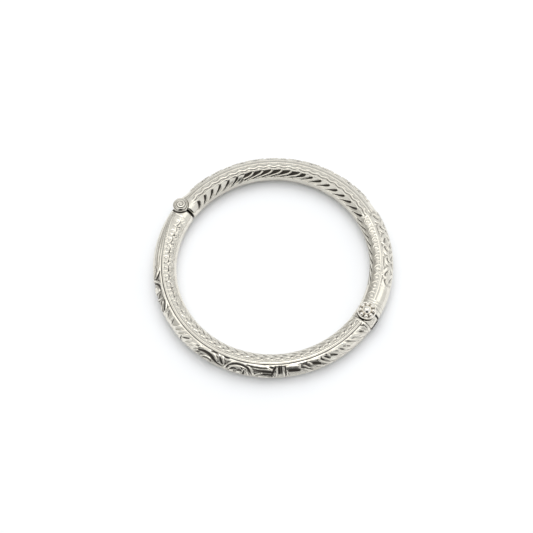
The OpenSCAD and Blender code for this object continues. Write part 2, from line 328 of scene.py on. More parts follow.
# Strokes of the front half's outer band, from the hinge to the rope: tool, three points of plan and
# section angle, half widths in mm, and height in mm where it isn't the usual one
FRONT_STROKES = strokes_from([
    (LEAF, (176, 70), (183, 68), (187.4, 36), (0.9, 0.95, 0.3)),
    (LEAF, (177, 24), (183, 34), (187.6, 14), (1.2, 1.5, 0.5)),
    (CUT, (184.6, 67), (186.8, 56), (188.2, 36), (0.3, 0.9, 0.3), 0.35),
    # Arch of the acanthus, its inner dome and ribs
    (CORD, (187.8, -8), (188.2, 46), (191.4, 65), (0.6, 0.6, 0.5)),
    (CORD, (191.2, 65), (196.5, 74), (201.0, 65), (0.5, 0.55, 0.5)),
    (CORD, (200.8, 65), (205.2, 57), (206.3, 22), (0.5, 0.5, 0.45)),
    (CUT, (189.8, 18), (190.2, 44), (192.6, 57), (0.3, 0.5, 0.4), 0.25),
    (CUT, (200.2, 62), (203.6, 54), (205.0, 20), (0.3, 0.95, 0.4), 0.4),
    (LEAF, (193.5, -14), (192.9, 25), (194.0, 43), (1.5, 1.7, 0.9)),
    (CUT, (196.2, 45), (196.9, 37), (197.9, 30), (0.35, 0.6, 0.3), 0.4),
    (CORD, (198.6, 50), (198.9, 32), (197.6, -8), (0.3, 0.45, 0.4)),
    (CUT, (200.2, 38), (200.8, 29), (201.2, 20), (0.3, 0.5, 0.3), 0.4),
    (CORD, (200.6, 46), (202.4, 34), (203.4, -4), (0.3, 0.45, 0.4)),
    # Leaves between the arch and the fan
    (LEAF, (205.6, 72), (206.4, 40), (205.4, -10), (0.7, 1.0, 0.7)),
    (CUT, (206.7, 61), (207.9, 48), (209.2, 31), (0.25, 0.45, 0.2), 0.4),
    (LEAF, (209.8, 70), (210.6, 42), (208.8, -6), (0.8, 1.0, 0.6)),
    (CUT, (211.8, 57), (212.3, 44), (212.9, 31), (0.25, 0.5, 0.25), 0.42),
    (CORD, (212.2, -10), (214.0, 46), (218.2, 70), (0.6, 0.55, 0.45)),
    (CORD, (214.4, -10), (216.8, 42), (220.8, 66), (0.5, 0.5, 0.4)),
    (CORD, (216.6, -10), (219.4, 40), (223.6, 63), (0.5, 0.5, 0.4)),
    (CORD, (218.8, -10), (221.8, 38), (226.4, 59), (0.5, 0.5, 0.4)),
    (CORD, (222.0, -8), (224.6, 32), (229.6, 54), (0.5, 0.5, 0.4)),
    (CORD, (217.8, 69), (224, 78), (232, 63), (0.55, 0.65, 0.4)),
    (CUT, (220.6, 31), (220.8, 18), (221.0, 3), (0.3, 0.55, 0.35), 0.45),
    (CUT, (222.2, 35), (223.4, 44), (224.8, 54), (0.3, 0.5, 0.3), 0.4),
    (CORD, (225.2, -8), (226.8, 34), (231.4, 48), (0.5, 0.5, 0.4)),
    (CORD, (227.8, -10), (229.2, 24), (232.6, 38), (0.5, 0.45, 0.35)),
    (CORD, (230.6, -12), (231.2, 8), (233.4, 24), (0.5, 0.5, 0.35)),
    # The deep S beside the fan
    (CORD, (233.6, 2), (235.6, 42), (239.4, 28), (0.45, 0.5, 0.4)),
    (CORD, (235.2, -14), (236.4, 20), (239.6, 6), (0.45, 0.45, 0.4)),
    (CUT, (232.0, 38), (236.4, 62), (240.0, 40), (0.4, 1.0, 0.95), 0.5),
    (CUT, (239.8, 42), (241.6, 24), (245.2, 10), (0.95, 0.85, 0.45), 0.5),
    (CORD, (231.4, 55), (236.2, 79), (240.9, 58), (0.35, 0.4, 0.35)),
    (CORD, (240.7, 60), (242.2, 48), (243.2, 30), (0.35, 0.45, 0.35)),
    (CORD, (242.2, 79), (242.5, 70), (243.2, 61), (0.45, 0.5, 0.3)),
    (CUT, (243.4, 62), (244.2, 48), (245.5, 32), (0.3, 0.9, 0.5), 0.5),
    (CUT, (238.0, 70), (240.0, 73), (242.0, 71), (0.25, 0.35, 0.25), 0.35),
    (CUT, (245.5, 73), (246.6, 70), (248.3, 74), (0.3, 0.55, 0.25), 0.4),
    (CORD, (243.6, 76), (246.3, 60), (246.4, 30), (0.3, 0.35, 0.35)),
    # The double-rimmed fan
    (CORD, (246.8, 8), (247.5, 54), (251.4, 66), (0.42, 0.42, 0.42)),
    (CORD, (251.3, 66), (254.8, 77), (258.1, 62), (0.42, 0.42, 0.42)),
    (CORD, (258.0, 62), (260.9, 50), (261.0, 8), (0.42, 0.42, 0.42)),
    (LEAF, (250.0, -14), (250.6, 8), (250.3, 18), (0.9, 0.9, 0.6)),
    (LEAF, (253.6, -14), (253.6, 8), (253.8, 20), (0.9, 0.9, 0.6)),
    (CORD, (249.2, 42), (253.8, 60), (257.0, 40), (0.9, 1.0, 0.8), 0.3),
    (CUT, (247.9, 24), (248.8, 50), (252.4, 59), (0.35, 0.6, 0.62), 0.5),
    (CUT, (252.3, 59), (256.0, 64), (258.2, 47), (0.62, 0.65, 0.6), 0.5),
    (CUT, (258.1, 48), (259.2, 40), (259.7, 20), (0.6, 0.55, 0.35), 0.5),
    (CORD, (248.9, 16), (250.0, 47), (253.2, 46), (0.38, 0.42, 0.38)),
    (CORD, (253.0, 46), (255.6, 45), (255.9, 26), (0.38, 0.4, 0.3)),
    (CUT, (249.8, 16), (250.8, 34), (252.6, 28), (0.35, 0.6, 0.45), 0.5),
    (CUT, (253.2, 20), (254.0, 32), (255.4, 22), (0.35, 0.55, 0.4), 0.45),
    (CUT, (256.5, 28), (256.3, 6), (255.9, -18), (0.3, 0.7, 0.7), 0.5),
    (CORD, (257.6, 36), (258.5, 14), (258.5, -14), (0.3, 0.5, 0.5)),
    # Leaf that points to the calyx, and the leaf beneath it
    (LEAF, (258.0, 70), (264.0, 80), (270.6, 49), (0.5, 1.15, 0.2)),
    (CORD, (261.6, 53), (266.4, 58), (270.5, 49), (0.3, 0.4, 0.2)),
    (CUT, (257.5, 65), (262.4, 57), (267.8, 58), (0.3, 0.55, 0.3), 0.45),
    (CUT, (260.9, 45), (265.6, 40), (270.6, 36), (0.3, 0.95, 0.6), 0.5),
    (CORD, (261.4, -14), (261.4, 24), (265.4, 27), (0.42, 0.45, 0.25)),
    (CUT, (264.8, 22), (267.6, 19), (270.6, 15), (0.35, 0.9, 0.5), 0.5),
    (CORD, (263.6, -14), (264.4, 10), (269.4, 10), (0.45, 0.5, 0.35)),
    (CORD, (267.0, -14), (267.6, -4), (270.4, 0), (0.45, 0.45, 0.4)),
    # Chevron and the calyx's bars
    (CORD, (268.8, 79), (270.8, 58), (272.4, 78), (0.3, 0.35, 0.3)),
    (CUT, (270.0, 18), (270.7, 46), (272.0, 66), (0.5, 0.75, 0.5), 0.55),
    (CORD, (272.0, -16), (272.2, 10), (272.6, 58), (0.3, 0.3, 0.25)),
    (CORD, (269.6, 73), (274.0, 71), (278.4, 73), (0.5, 0.6, 0.5)),
    (CUT, (273.6, 28), (273.7, 46), (273.7, 66), (0.6, 0.75, 0.65), 0.55),
    (CUT, (274.8, 28), (274.8, 46), (274.8, 66), (0.45, 0.5, 0.45), 0.55),
    (CORD, (275.8, -16), (275.8, 20), (275.8, 62), (0.3, 0.3, 0.24)),
    (CUT, (276.7, 26), (276.7, 46), (276.7, 64), (0.35, 0.4, 0.4), 0.5),
    (CORD, (277.5, -16), (277.5, 10), (277.2, 40), (0.3, 0.3, 0.24)),
    # Twisted rope: black hollows under the ridge, and strands that cross the band with gaps between
    (CUT, (278.6, 40), (280.8, 37), (283.2, 30), (0.85, 1.1, 0.75), 0.5),
    (CORD, (276.8, 63), (280.5, 62), (284.2, 57), (0.35, 0.5, 0.35)),
    (CORD, (282.6, 58), (285.8, 32), (289.4, -6), (0.42, 0.5, 0.42)),
    (CUT, (284.2, 45), (285.2, 40), (286.2, 34), (0.25, 0.4, 0.25), 0.4),
    (CUT, (285.4, 62), (286.3, 57), (287.3, 51), (0.25, 0.45, 0.25), 0.42),
    (CORD, (285.9, 52), (287.0, 42), (288.2, 28), (0.3, 0.38, 0.3)),
    (CUT, (287.4, 48), (288.1, 41), (288.7, 33), (0.25, 0.4, 0.25), 0.42),
    (CUT, (287.9, 26), (288.7, 14), (289.6, 2), (0.25, 0.38, 0.25), 0.4),
    (CORD, (288.2, 60), (291.2, 34), (295.6, 2), (0.42, 0.5, 0.42)),
    (CUT, (290.6, 46), (292.0, 42), (293.7, 30), (0.75, 1.1, 0.7), 0.5),
    (CORD, (287.8, 68), (291.0, 66), (294.4, 59), (0.35, 0.5, 0.35)),
    (CORD, (293.4, 58), (295.6, 28), (300.2, -12), (0.42, 0.5, 0.42)),
    (CUT, (294.8, 55), (295.4, 48), (296.1, 40), (0.25, 0.42, 0.25), 0.42),
    (CORD, (295.8, 58), (297.2, 44), (298.6, 28), (0.3, 0.38, 0.3)),
    (CUT, (297.0, 58), (297.9, 48), (299.0, 36), (0.3, 0.5, 0.3), 0.42),
    (CORD, (298.6, 62), (301.4, 32), (306.0, -4), (0.42, 0.5, 0.42)),
    (CUT, (300.0, 49), (301.4, 43), (302.8, 33), (0.55, 0.85, 0.5), 0.5),
    (CORD, (297.8, 70), (301.0, 67), (304.4, 59), (0.35, 0.5, 0.35)),
    (CORD, (303.6, 60), (306.0, 30), (310.4, -8), (0.42, 0.8, 0.42)),
    (CUT, (305.6, 52), (306.3, 45), (307.1, 37), (0.25, 0.45, 0.25), 0.42),
    (CUT, (307.6, 54), (308.1, 50), (308.6, 46), (0.25, 0.35, 0.25), 0.36),
    (CORD, (308.2, 66), (309.6, 58), (311.0, 44), (0.4, 0.5, 0.35)),
    (CUT, (309.3, 43), (309.9, 37), (310.6, 29), (0.25, 0.42, 0.25), 0.4),
    (CUT, (309.8, 70), (312.2, 52), (314.4, 30), (0.2, 0.3, 0.2), 0.36),
    (CORD, (311.0, 68), (314.4, 40), (318.6, 0), (0.45, 0.9, 0.42)),
    (LEAF, (314.4, 70), (317.6, 48), (320.8, 34), (0.5, 0.9, 0.4)),
    (CORD, (319.4, 66), (321.0, 44), (321.8, 14), (0.4, 0.45, 0.35)),
    # Spots at the rope's end
    (CUT, (321.4, 74), (321.9, 68), (322.4, 61), (0.35, 0.55, 0.35), 0.4),
    (CUT, (318.6, 53), (319.3, 46), (320.0, 40), (0.3, 0.5, 0.3), 0.4),
])

# One petal cut in outline, with a raised fold, round its own centre
PETAL = strokes_from([
    (CUT, (-2.4, -12), (-3.3, 5), (-0.4, 13), (0.2, 0.32, 0.2), 0.3),
    (CUT, (-0.4, 13), (2.7, 16), (2.6, 2), (0.2, 0.32, 0.2), 0.3),
    (CUT, (0.4, -12), (-1.2, -1), (0.9, 4), (0.16, 0.26, 0.16), 0.26),
    (LEAF, (1.5, -10), (1.9, -2), (1.2, 8), (0.25, 0.5, 0.2), 0.2),
])

# One scroll cell round its own centre: offsets in plan and section angle
CELL = strokes_from([
    (CORD, (-2.4, -15), (-3.2, 14), (-0.2, 16), (0.34, 0.42, 0.34)),
    (CORD, (-0.2, 16), (2.7, 17), (2.3, 0), (0.34, 0.4, 0.3)),
    (CORD, (2.3, 0), (1.9, -11), (-0.5, -5), (0.3, 0.38, 0.42)),
    (LEAF, (1.2, -15), (3.4, -18), (3.6, 2), (0.3, 0.6, 0.2)),
    (CUT, (-1.2, -5), (-1.4, 6), (0.2, 8), (0.25, 0.42, 0.25), 0.32),
    (CUT, (2.6, -5), (3.0, 4), (2.9, 15), (0.25, 0.42, 0.25), 0.32),
])

# One oval leaf cell on top of the tube near the clasp: offsets in plan and section angle
OVAL = strokes_from([
    (CORD, (-1.7, -14), (-3.0, 2), (-0.3, 15), (0.24, 0.36, 0.24)),
    (CORD, (1.7, -14), (3.0, 2), (0.3, 15), (0.24, 0.36, 0.24)),
    (LEAF, (-0.3, -10), (0.5, -1), (0, 9), (0.3, 0.7, 0.2)),
])

# One curling leaf of the outer band near the clasp
CURL = strokes_from([
    (LEAF, (-2.4, -16), (-1.6, 8), (1.4, 15), (0.45, 0.8, 0.3)),
    (CORD, (-2.6, 14), (0.4, 22), (2.6, 6), (0.3, 0.38, 0.28)),
    (LEAF, (0.2, -15), (2.6, -10), (2.3, 3), (0.3, 0.6, 0.25)),
    (CUT, (-0.4, -5), (0.5, 4), (1.6, 4), (0.18, 0.34, 0.18), 0.25),
])


# Meshes

def mesh_piece(name: str, points: Array, faces: list, tarnish_and_shade: Array | None = None) -> Object:
    """Makes a smooth mesh object at the origin.

    Args:
        name: the piece's name.
        points: vertices in mm, one row each.
        faces: vertex numbers of each face.
        tarnish_and_shade: for each vertex, how dark it is with tarnish and painted shade, from 0 to 1.

    Returns:
        The object, linked to the scene.
    """
    mesh = bpy.data.meshes.new(name)
    mesh.from_pydata((points * MM).tolist(), [], faces)
    if tarnish_and_shade is not None:
        layer = mesh.attributes.new("recess", "FLOAT", "POINT")
        layer.data.foreach_set("value", np.clip(tarnish_and_shade, 0, 1).astype(np.float32).ravel())
    mesh.polygons.foreach_set("use_smooth", np.ones(len(mesh.polygons), bool))
    mesh.update()
    piece = bpy.data.objects.new(name, mesh)
    bpy.context.scene.collection.objects.link(piece)
    return piece


def grid_faces(rows: int, columns: int) -> list:
    """Faces of a grid that closes on itself across its columns.

    Face (i, j) joins row i to row i + 1 and column j to the next, the last column to the first.

    Args:
        rows: number of rows.
        columns: number of columns.

    Returns:
        The faces.
    """
    i, j = np.meshgrid(np.arange(rows - 1), np.arange(columns), indexing="ij")
    here, beyond, k = i * columns, (i + 1) * columns, (j + 1) % columns
    return np.stack([here + j, beyond + j, beyond + k, here + k], -1).reshape(-1, 4).tolist()


def weld(piece: Object) -> Object:
    """Joins a piece's vertices that lie together, so that its poles close, and turns its faces outward.

    Args:
        piece: the piece.

    Returns:
        The same piece.
    """
    work = bmesh.new()
    work.from_mesh(piece.data)
    bmesh.ops.remove_doubles(work, verts=work.verts, dist=0.002 * MM)
    bmesh.ops.recalc_face_normals(work, faces=work.faces)
    work.to_mesh(piece.data)
    work.free()
    return piece


def dress(piece: Object, finish: Material, body: str) -> None:
    """Gives a piece its material and body, and logs its face count.

    Args:
        piece: the piece.
        finish: its material.
        body: the body it moves with.
    """
    piece.data.materials.append(finish)
    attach(piece, body)
    log.info("%s: %d faces", piece.name, len(piece.data.polygons))


def lathe(name: str, stand: Stand, profile: Array, columns: int,
          shape: Callable[[Array], tuple[Array, Array]] | None = None, tarnish_and_shade: Array | None = None) -> Object:
    """Turns a profile round an upright axis.

    Point (i, j) stands at radius profile[i, 0] and angle 360 j / columns, at height profile[i, 1].

    Args:
        name: the piece's name.
        stand: the axis.
        profile: radius and height of each row, from the top's middle round to the bottom's middle.
        columns: number of columns.
        shape: a function of the local points that gives them moved, with their recess values.
        tarnish_and_shade: darkness of each row, with tarnish and painted shade, where there is no such
            function.

    Returns:
        The object, with its poles closed.
    """
    turn = np.linspace(0, 2 * np.pi, columns, endpoint=False)
    r, z = profile[:, :1], profile[:, 1:]
    local = np.stack([r * np.cos(turn), r * np.sin(turn), np.broadcast_to(z, (len(profile), columns))], -1)
    # Darkness per point: tarnish and painted shade
    depth = np.zeros(local.shape[:2]) if tarnish_and_shade is None else np.broadcast_to(tarnish_and_shade[:, None], local.shape[:2])
    if shape is not None:
        local, depth = shape(local)
    points = stand.to_ring(local).reshape(-1, 3)
    return weld(mesh_piece(name, points, grid_faces(len(profile), columns), depth.ravel()))


def through(corners: list[Point], step: float) -> Array:
    """Points along straight lines between corners, no further apart than a step in mm.

    Args:
        corners: the corners in order.
        step: the longest step in mm.

    Returns:
        The points, one row each.
    """
    out = [np.array(corners[:1], float)]
    for a, b in zip(corners[:-1], corners[1:]):
        n = max(1, math.ceil(math.dist(a, b) / step))
        s = np.arange(1, n + 1)[:, None] / n
        out.append(np.array(a) * (1 - s) + np.array(b) * s)
    return np.concatenate(out)


def arc(centre: Point, radius: float, start: float, end: float, count: int) -> list[Point]:
    """Points on a circle from one angle in degrees to another."""
    turn = np.radians(np.linspace(start, end, count))
    return [(centre[0] + radius * math.cos(t), centre[1] + radius * math.sin(t)) for t in turn]


def blurred(height: Array, columns: int) -> Array:
    """Mean of a height over some columns and rows to each side, taken twice. Columns close on themselves.

    Args:
        height: the heights.
        columns: how many columns and rows to each side.

    Returns:
        The means.
    """
    out, count = height, 2 * columns + 1
    for _ in range(2):
        out = sum(np.roll(out, k, 1) for k in range(-columns, columns + 1)) / count
        padded = np.pad(out, ((columns, columns), (0, 0)), mode="edge")
        out = sum(padded[k:k + len(out)] for k in range(count)) / count
    return out


# Finishes

def linear(hex_colour: str) -> tuple[float, float, float, float]:
    """The linear colour of an sRGB hex value such as #c0c0c0."""
    parts = [int(hex_colour[i:i + 2], 16) / 255 for i in (1, 3, 5)]
    return (*(c / 12.92 if c <= 0.04045 else ((c + 0.055) / 1.055) ** 2.4 for c in parts), 1.0)


def add_node(
    tree: bpy.types.NodeTree, kind: str, settings: dict | None = None, links: dict | None = None
) -> bpy.types.Node:
    """Adds a node with its settings and links.

    Args:
        tree: the node tree.
        kind: the node's type name.
        settings: attribute names, or input names or numbers, with their values.
        links: input names or numbers with the output sockets that feed them.

    Returns:
        The node.
    """
    node = tree.nodes.new(kind)
    for key, value in (settings or {}).items():
        if isinstance(key, str) and hasattr(node, key):
            setattr(node, key, value)
        else:
            node.inputs[key].default_value = value
    for key, socket in (links or {}).items():
        tree.links.new(socket, node.inputs[key])
    return node


@dataclass(frozen=True)
class ChasedSilver:
    """Silver, cast and chased by hand, polished on its high parts.

    The eye gets bright soft reflections broken by small tool marks, and recesses dark with sulphide.
    The same dark colour also paints shade into the seams, under the cap and the rosette plate, at the
    balls' feet, under the clasp's neck and low on the back half's inner face.
    """

    name: str
    bright: str = "#eeeadf"
    worn: str = "#e0dbd0"
    # Colour of the tarnish, which also serves as painted shade in seams and under parts
    tarnish: str = "#2d2823"
    roughness: float = 0.13
    recess_roughness: float = 0.5
    # Spacing of the punch and graver marks, which show from about 0.35 mm
    mark_mm: float = 0.42
    mark_depth_mm: float = 0.02
    # Spacing of the cloudy tarnish
    cloud_mm: float = 3.0

    def make(self) -> Material:
        """Builds the material.

        Returns:
            The material.
        """
        material = bpy.data.materials.new(self.name)
        material.use_nodes = True
        tree = material.node_tree
        tree.nodes.clear()
        place = add_node(tree, "ShaderNodeTexCoord").outputs["Object"]
        # Darkness per vertex: tarnish in hollows, and painted shade in seams and under parts
        recess = add_node(tree, "ShaderNodeAttribute", {"attribute_name": "recess"}).outputs["Fac"]

        def noise(spacing: float, detail: float) -> Socket:
            """Noise with a spacing in mm."""
            settings = {"Scale": 1 / (spacing * MM), "Detail": detail, "Roughness": 0.6}
            return add_node(tree, "ShaderNodeTexNoise", settings, {"Vector": place}).outputs["Fac"]

        def mapped(value: Socket, low: float, high: float, start: float, end: float) -> Socket:
            """A value moved from between low and high to between start and end."""
            settings = {"From Min": low, "From Max": high, "To Min": start, "To Max": end}
            return add_node(tree, "ShaderNodeMapRange", settings, {"Value": value}).outputs[0]

        def mixed(settings: dict, links: dict) -> Socket:
            """A colour between inputs 6 and 7, by input 0."""
            return add_node(tree, "ShaderNodeMix", {"data_type": "RGBA", **settings}, links).outputs[2]

        cloud, marks = noise(self.cloud_mm, 4.0), noise(self.mark_mm, 3.0)
        # Tarnish gathers in the recesses, and painted shade where the recess values carry it, with an edge
        # that the marks break up
        dark = add_node(
            tree, "ShaderNodeMath", {"operation": "MULTIPLY_ADD", 1: 0.35, 2: -0.175}, {0: marks}
        ).outputs[0]
        depth = add_node(
            tree, "ShaderNodeMath", {"operation": "ADD", "use_clamp": True}, {0: recess, 1: dark}
        ).outputs[0]
        film = mapped(cloud, 0.35, 0.7, 0.0, 1.0)
        metal = mixed({6: linear(self.bright), 7: linear(self.worn)}, {0: film})
        colour = mixed({7: linear(self.tarnish)}, {0: mapped(depth, 0.2, 0.95, 0.0, 0.95), 6: metal})
        rough = mapped(depth, 0.2, 0.8, self.roughness, self.recess_roughness)
        relief = add_node(
            tree, "ShaderNodeBump", {"Strength": 1.0, "Distance": self.mark_depth_mm * MM}, {"Height": marks}
        ).outputs[0]
        shader = add_node(
            tree, "ShaderNodeBsdfPrincipled", {"Metallic": 1.0},
            {"Base Color": colour, "Roughness": rough, "Normal": relief},
        ).outputs[0]
        add_node(tree, "ShaderNodeOutputMaterial", links={"Surface": shader})
        return material


# Ornament that both halves share

def off_line(section: Array, at: Value, half_width: float) -> Array:
    """How far section angles lie from a line along the ring, in half widths of so many mm."""
    return (section - at) * RING.mm_per_section_deg / half_width


def bead_line(plan: Array, section: Array, at: Value, half_width: float, pitch: float) -> Array:
    """A cord along the ring whose height falls between beads a pitch apart in plan degrees."""
    return rounded(off_line(section, at, half_width)) * (0.5 + 0.5 * rounded(2 * part_of(plan / pitch) - 1))


def stripes(plan: Array, section: Array, period: float, lean: float) -> Array:
    """Fine leaning grooves, from 0 to 1, uneven in depth.

    Args:
        plan: plan angles in degrees.
        section: section angles in degrees.
        period: plan degrees from groove to groove.
        lean: plan degrees of lean per section degree.

    Returns:
        The depth.
    """
    v = plan + lean * section
    uneven = 0.65 + 0.35 * np.sin(v * 1.37 + 2 * np.sin(v * 0.31))
    return (0.5 - 0.5 * np.cos(2 * np.pi * v / period)) ** 2 * uneven


def upright(plan: Array, section: Array, lean: float) -> Array:
    """Plan angles less a gadroon's lean, which is slight at its top and grows further down."""
    bend = np.clip(section, 108, 185) - 116
    return plan - lean * bend * (0.4 + bend / 55)


# Ends of the tubes

# Slope of the wedge between the halves outboard of the pin, and radius of the knuckle's hollow
WEDGE = math.tan(math.radians(36))
KNUCKLE_HOLLOW_R = 3.2
# A height clear of the tube, from which the wall of a recess falls
CLEAR = 9.0


def along_circle(out: Array, half: Callable[[Array], Array]) -> Array:
    """Plan degrees along the ring at which points meet a circle or line, given y for x as a function.

    Args:
        out: distances of the points from the ring's axis.
        half: the circle or line, as half its width in y for each x.

    Returns:
        The angles.
    """
    y = np.zeros_like(out)
    for _ in range(12):
        y = 0.5 * y + 0.5 * half(np.sqrt(out**2 - y**2))
    return np.degrees(np.arcsin(y / out))


def hinge_reach(out: Array, up: Array, knuckle: bool) -> Array:
    """Plan degrees from the pin at which a half tube ends.

    Inboard of the pin that is half the seam, and outboard a wedge. Where the knuckle turns, it is
    the knuckle's circle with a clearance.

    Args:
        out: distance from the ring's axis in mm.
        up: height in mm.
        knuckle: whether this half is hollowed for the knuckle.

    Returns:
        The angles.
    """
    def half(there: Array) -> Array:
        """y for each point's distance along x.

        Args:
            there: distances along x.

        Returns:
            The y values.
        """
        x = there - RING.hinge_r
        y = np.maximum(RING.seam / 2, x * WEDGE)
        if knuckle:
            hollow = np.sqrt(np.clip(KNUCKLE_HOLLOW_R**2 - x * x, 0, None))
            y = np.maximum(y, between(up, 1.45, 1.6, 6.85, 7.0) * hollow)
        return y

    return along_circle(out, half)


def clasp_reach(out: Array, side: int, hollow: float = 0.0) -> Array:
    """Plan degrees past the clasp screw's axis at which a half tube ends.

    That is a plane half the seam to one side of the seam's middle, or the circle of the boss's
    hollow where that lies further.

    Args:
        out: distance from the ring's axis in mm.
        side: -1 for the front half, 1 for the back half.
        hollow: radius of the hollow.

    Returns:
        The angles.
    """
    def half(there: Array) -> Array:
        """y for each point's distance along x.

        Args:
            there: distances along x.

        Returns:
            The y values.
        """
        x = there - RING.clasp_r
        plane = (RING.seam_at + side * RING.seam / 2 + x * math.sin(SWING)) / math.cos(SWING)
        return np.maximum(plane, np.sqrt(np.clip(hollow**2 - x * x, 0, None)))

    return along_circle(out, half)


def lowered(z: Array, inside: Array, floor: float) -> Array:
    """Heights cut down to a floor where inside is 1."""
    return np.minimum(z, CLEAR - (CLEAR - floor) * inside)


def with_height(points: Array, z: Array) -> Array:
    """Points with other heights."""
    return np.concatenate([points[..., :2], z[..., None]], -1)


# Half tubes

@dataclass
class HalfTube:
    """One chased half of the ring, a grid of plan and section angles that closes over its ends.

    A span holds the plan angles at which an ornament starts, is full, fades and ends.
    """

    name: str
    node: str
    body: str
    plan_from: float
    plan_to: float
    # Radii between which the wall of the hinge's round recess stands
    recess_r: tuple[float, float]
    lip: tuple[float, float] = (1.5, 0.3)
    plan_step: float = 0.242
    fine_from: float = -32.0
    fine_to: float = 216.0
    fine_step: float = 2.35
    coarse_step: float = 5.5
    # How far from an end the rows give way to its shape, in plan degrees
    give: float = 9.0
    gadroon_pitch: float = 5.42

    def sections(self) -> Array:
        """Section angles once round the tube, close together where the relief is.

        Returns:
            The angles in degrees.
        """
        fine = np.arange(self.fine_from, self.fine_to, self.fine_step)
        coarse = np.arange(self.fine_to, self.fine_from + 360, self.coarse_step)
        return np.concatenate([fine, coarse])

    def relief(self, plan: Array, section: Array) -> Relief:
        """Height of the surface above the plain section in mm, and how dark it is with tarnish and, in
        places, painted shade.
        """
        raise NotImplementedError

    def reach(self, out: Array, up: Array) -> tuple[Array, Array]:
        """Plan angles of the two ends at a distance from the axis and a height."""
        raise NotImplementedError

    def recessed(self, z: Array, far: Array, ink: Array) -> tuple[Array, Array]:
        """Heights and darkness, painted shade included, once the hinge's recess is cut, given distances from
        the pin.
        """
        raise NotImplementedError

    def opened(self, points: Array, ink: Array) -> tuple[Array, Array]:
        """Points and darkness once the hinge's recess and the rosette plate's seat are cut, with painted
        shade in both.

        Args:
            points: points with x, y and z last.
            ink: darkness with tarnish and painted shade.

        Returns:
            The points and the darkness, painted shade included.
        """
        at = HINGE.to_local(points)
        far = np.hypot(at[..., 0], at[..., 1])
        z, ink = self.recessed(at[..., 2], far, ink)
        at_hinge = (far < 12)[..., None]
        points = np.where(at_hinge, HINGE.to_ring(with_height(at, z)), points)
        at = CLASP.to_local(points)
        far, z = np.hypot(at[..., 0], at[..., 1]), at[..., 2]
        inside = fall(far, Clasp.seat_r - 0.15, Clasp.seat_r + 0.15)
        # Painted shade in the seat under the rosette plate's edge
        ink = np.maximum(ink, 0.95 * inside * (z > Clasp.seat_z - 0.3))
        seated = CLASP.to_ring(with_height(at, lowered(z, inside, Clasp.seat_z)))
        return np.where(at_hinge, points, seated), ink

    def gadroons(self, plan: Array, section: Array, first: float, lean: float, top: Value,
                 wide: Value, mirrored: bool) -> Array:
        """Leaning lobes on the inner face, with slots between them that taper to a point.

        Along a pitch the surface falls into a slot and rises steeply to the next lobe's crest. The
        slot's share of the pitch is wide at the top and falls in a curve to nothing 40 section
        degrees further.

        Args:
            plan: plan angles.
            section: section angles.
            first: plan angle of a crest at a section angle of 116.
            lean: plan degrees of lean for each section degree, before its growth.
            top: section angle where the slots start.
            wide: share of a pitch that a slot takes at its top.
            mirrored: whether the steep side is the earlier one.

        Returns:
            The depth from 0 to 1.
        """
        w = part_of((upright(plan, section, lean) - first) / self.gadroon_pitch)
        w = 1 - w if mirrored else w
        share = wide * np.clip(1 - np.clip((section - top - 2) / 38, 0, 1) ** 2.4, 0, 1)
        low = 0.94 - share
        slot = between(w, low - 0.07, low + 0.1, 0.9, 0.98) * ramp(share, 0.02, 0.12)
        back = 0.14 * (1 - rounded((w - 0.45 * (1 - share)) / 0.6)) * (1 - slot)
        start = top + 5 * (w - 0.5)
        return (slot + back) * between(section, start - 1.5, start + 2.5, 190, 214)

    def build(self, finish: Material) -> None:
        """Builds and dresses the half.

        Point (i, j) is the ring's point at plan angle i and section angle j, lifted by the relief.
        Near an end the plan angles are stretched so that the first row lies on the end's shape,
        and the lip falls away as a quarter circle. More rows shrink the section to its middle
        along that shape. Tarnish lies in cuts, and where the relief is under its own blurred copy.
        Painted shade darkens the last 0.4 mm at each end and the closing rows, for the dark seams.

        Args:
            finish: its material.
        """
        count = round((self.plan_to - self.plan_from) / self.plan_step)
        plan, section = np.meshgrid(
            np.linspace(self.plan_from, self.plan_to, count), self.sections(), indexing="ij"
        )
        tube = RING.point(plan * 0, section, np.zeros_like(plan))
        low, high = self.reach(tube[..., 0], tube[..., 2])
        near_low = np.clip(1 - (plan - self.plan_from) / self.give, 0, 1)
        near_high = np.clip(1 - (self.plan_to - plan) / self.give, 0, 1)
        plan = plan + near_low * (low - self.plan_from) + near_high * (high - self.plan_to)
        height, ink = self.relief(plan, section)
        recess = ink + 0.75 * np.clip((blurred(height, 3) - height) / 0.15 - 0.2, 0, 1)
        for from_end, lip in ((plan - low, self.lip[0]), (high - plan, self.lip[1])):
            distance = from_end * RING.mm_per_deg
            height = height - lip * (1 - rounded(np.clip(1 - distance / lip, 0, 1)))
            # Painted shade along the seam, within 0.4 mm of each end
            recess = recess + bump(distance / 0.4)
        first, last = self.closing(section[0], height[0], 0), self.closing(section[0], height[-1], 1)
        points = np.concatenate([first, RING.point(plan, section, height), last[::-1]])
        # The closing rows inside the seams get painted shade
        inner = [np.full(rows.shape[:2], 0.95) for rows in (first, last)]
        points, recess = self.opened(points, np.concatenate([inner[0], recess, inner[1]]))
        piece = mesh_piece(self.name, points.reshape(-1, 3), grid_faces(*points.shape[:2]), recess.ravel())
        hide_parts(self.node)
        dress(weld(piece), finish, self.body)

    def closing(self, section: Array, lift: Array, end: int) -> Array:
        """Rows that close one end along its shape, from the section's middle to nearly its full size.

        Args:
            section: section angles of a row.
            lift: height of the end row above the plain section.
            end: 0 for the first end, 1 for the last.

        Returns:
            The rows.
        """
        share = np.linspace(0, 1, 8)[:-1, None]
        t = np.radians(section)[None]
        out = RING.radius + share * (RING.half_w + lift) * np.cos(t)
        up = RING.half_h + share * (RING.half_h + lift) * np.sin(t)
        return self.on_end(out, up, end)

    def on_end(self, out: Array, up: Array, end: int) -> Array:
        """Points on the shape of end 0 or 1 at distances from the axis and heights."""
        p = np.radians(self.reach(out, up)[end])
        return np.stack([out * np.cos(p), out * np.sin(p), up], -1)


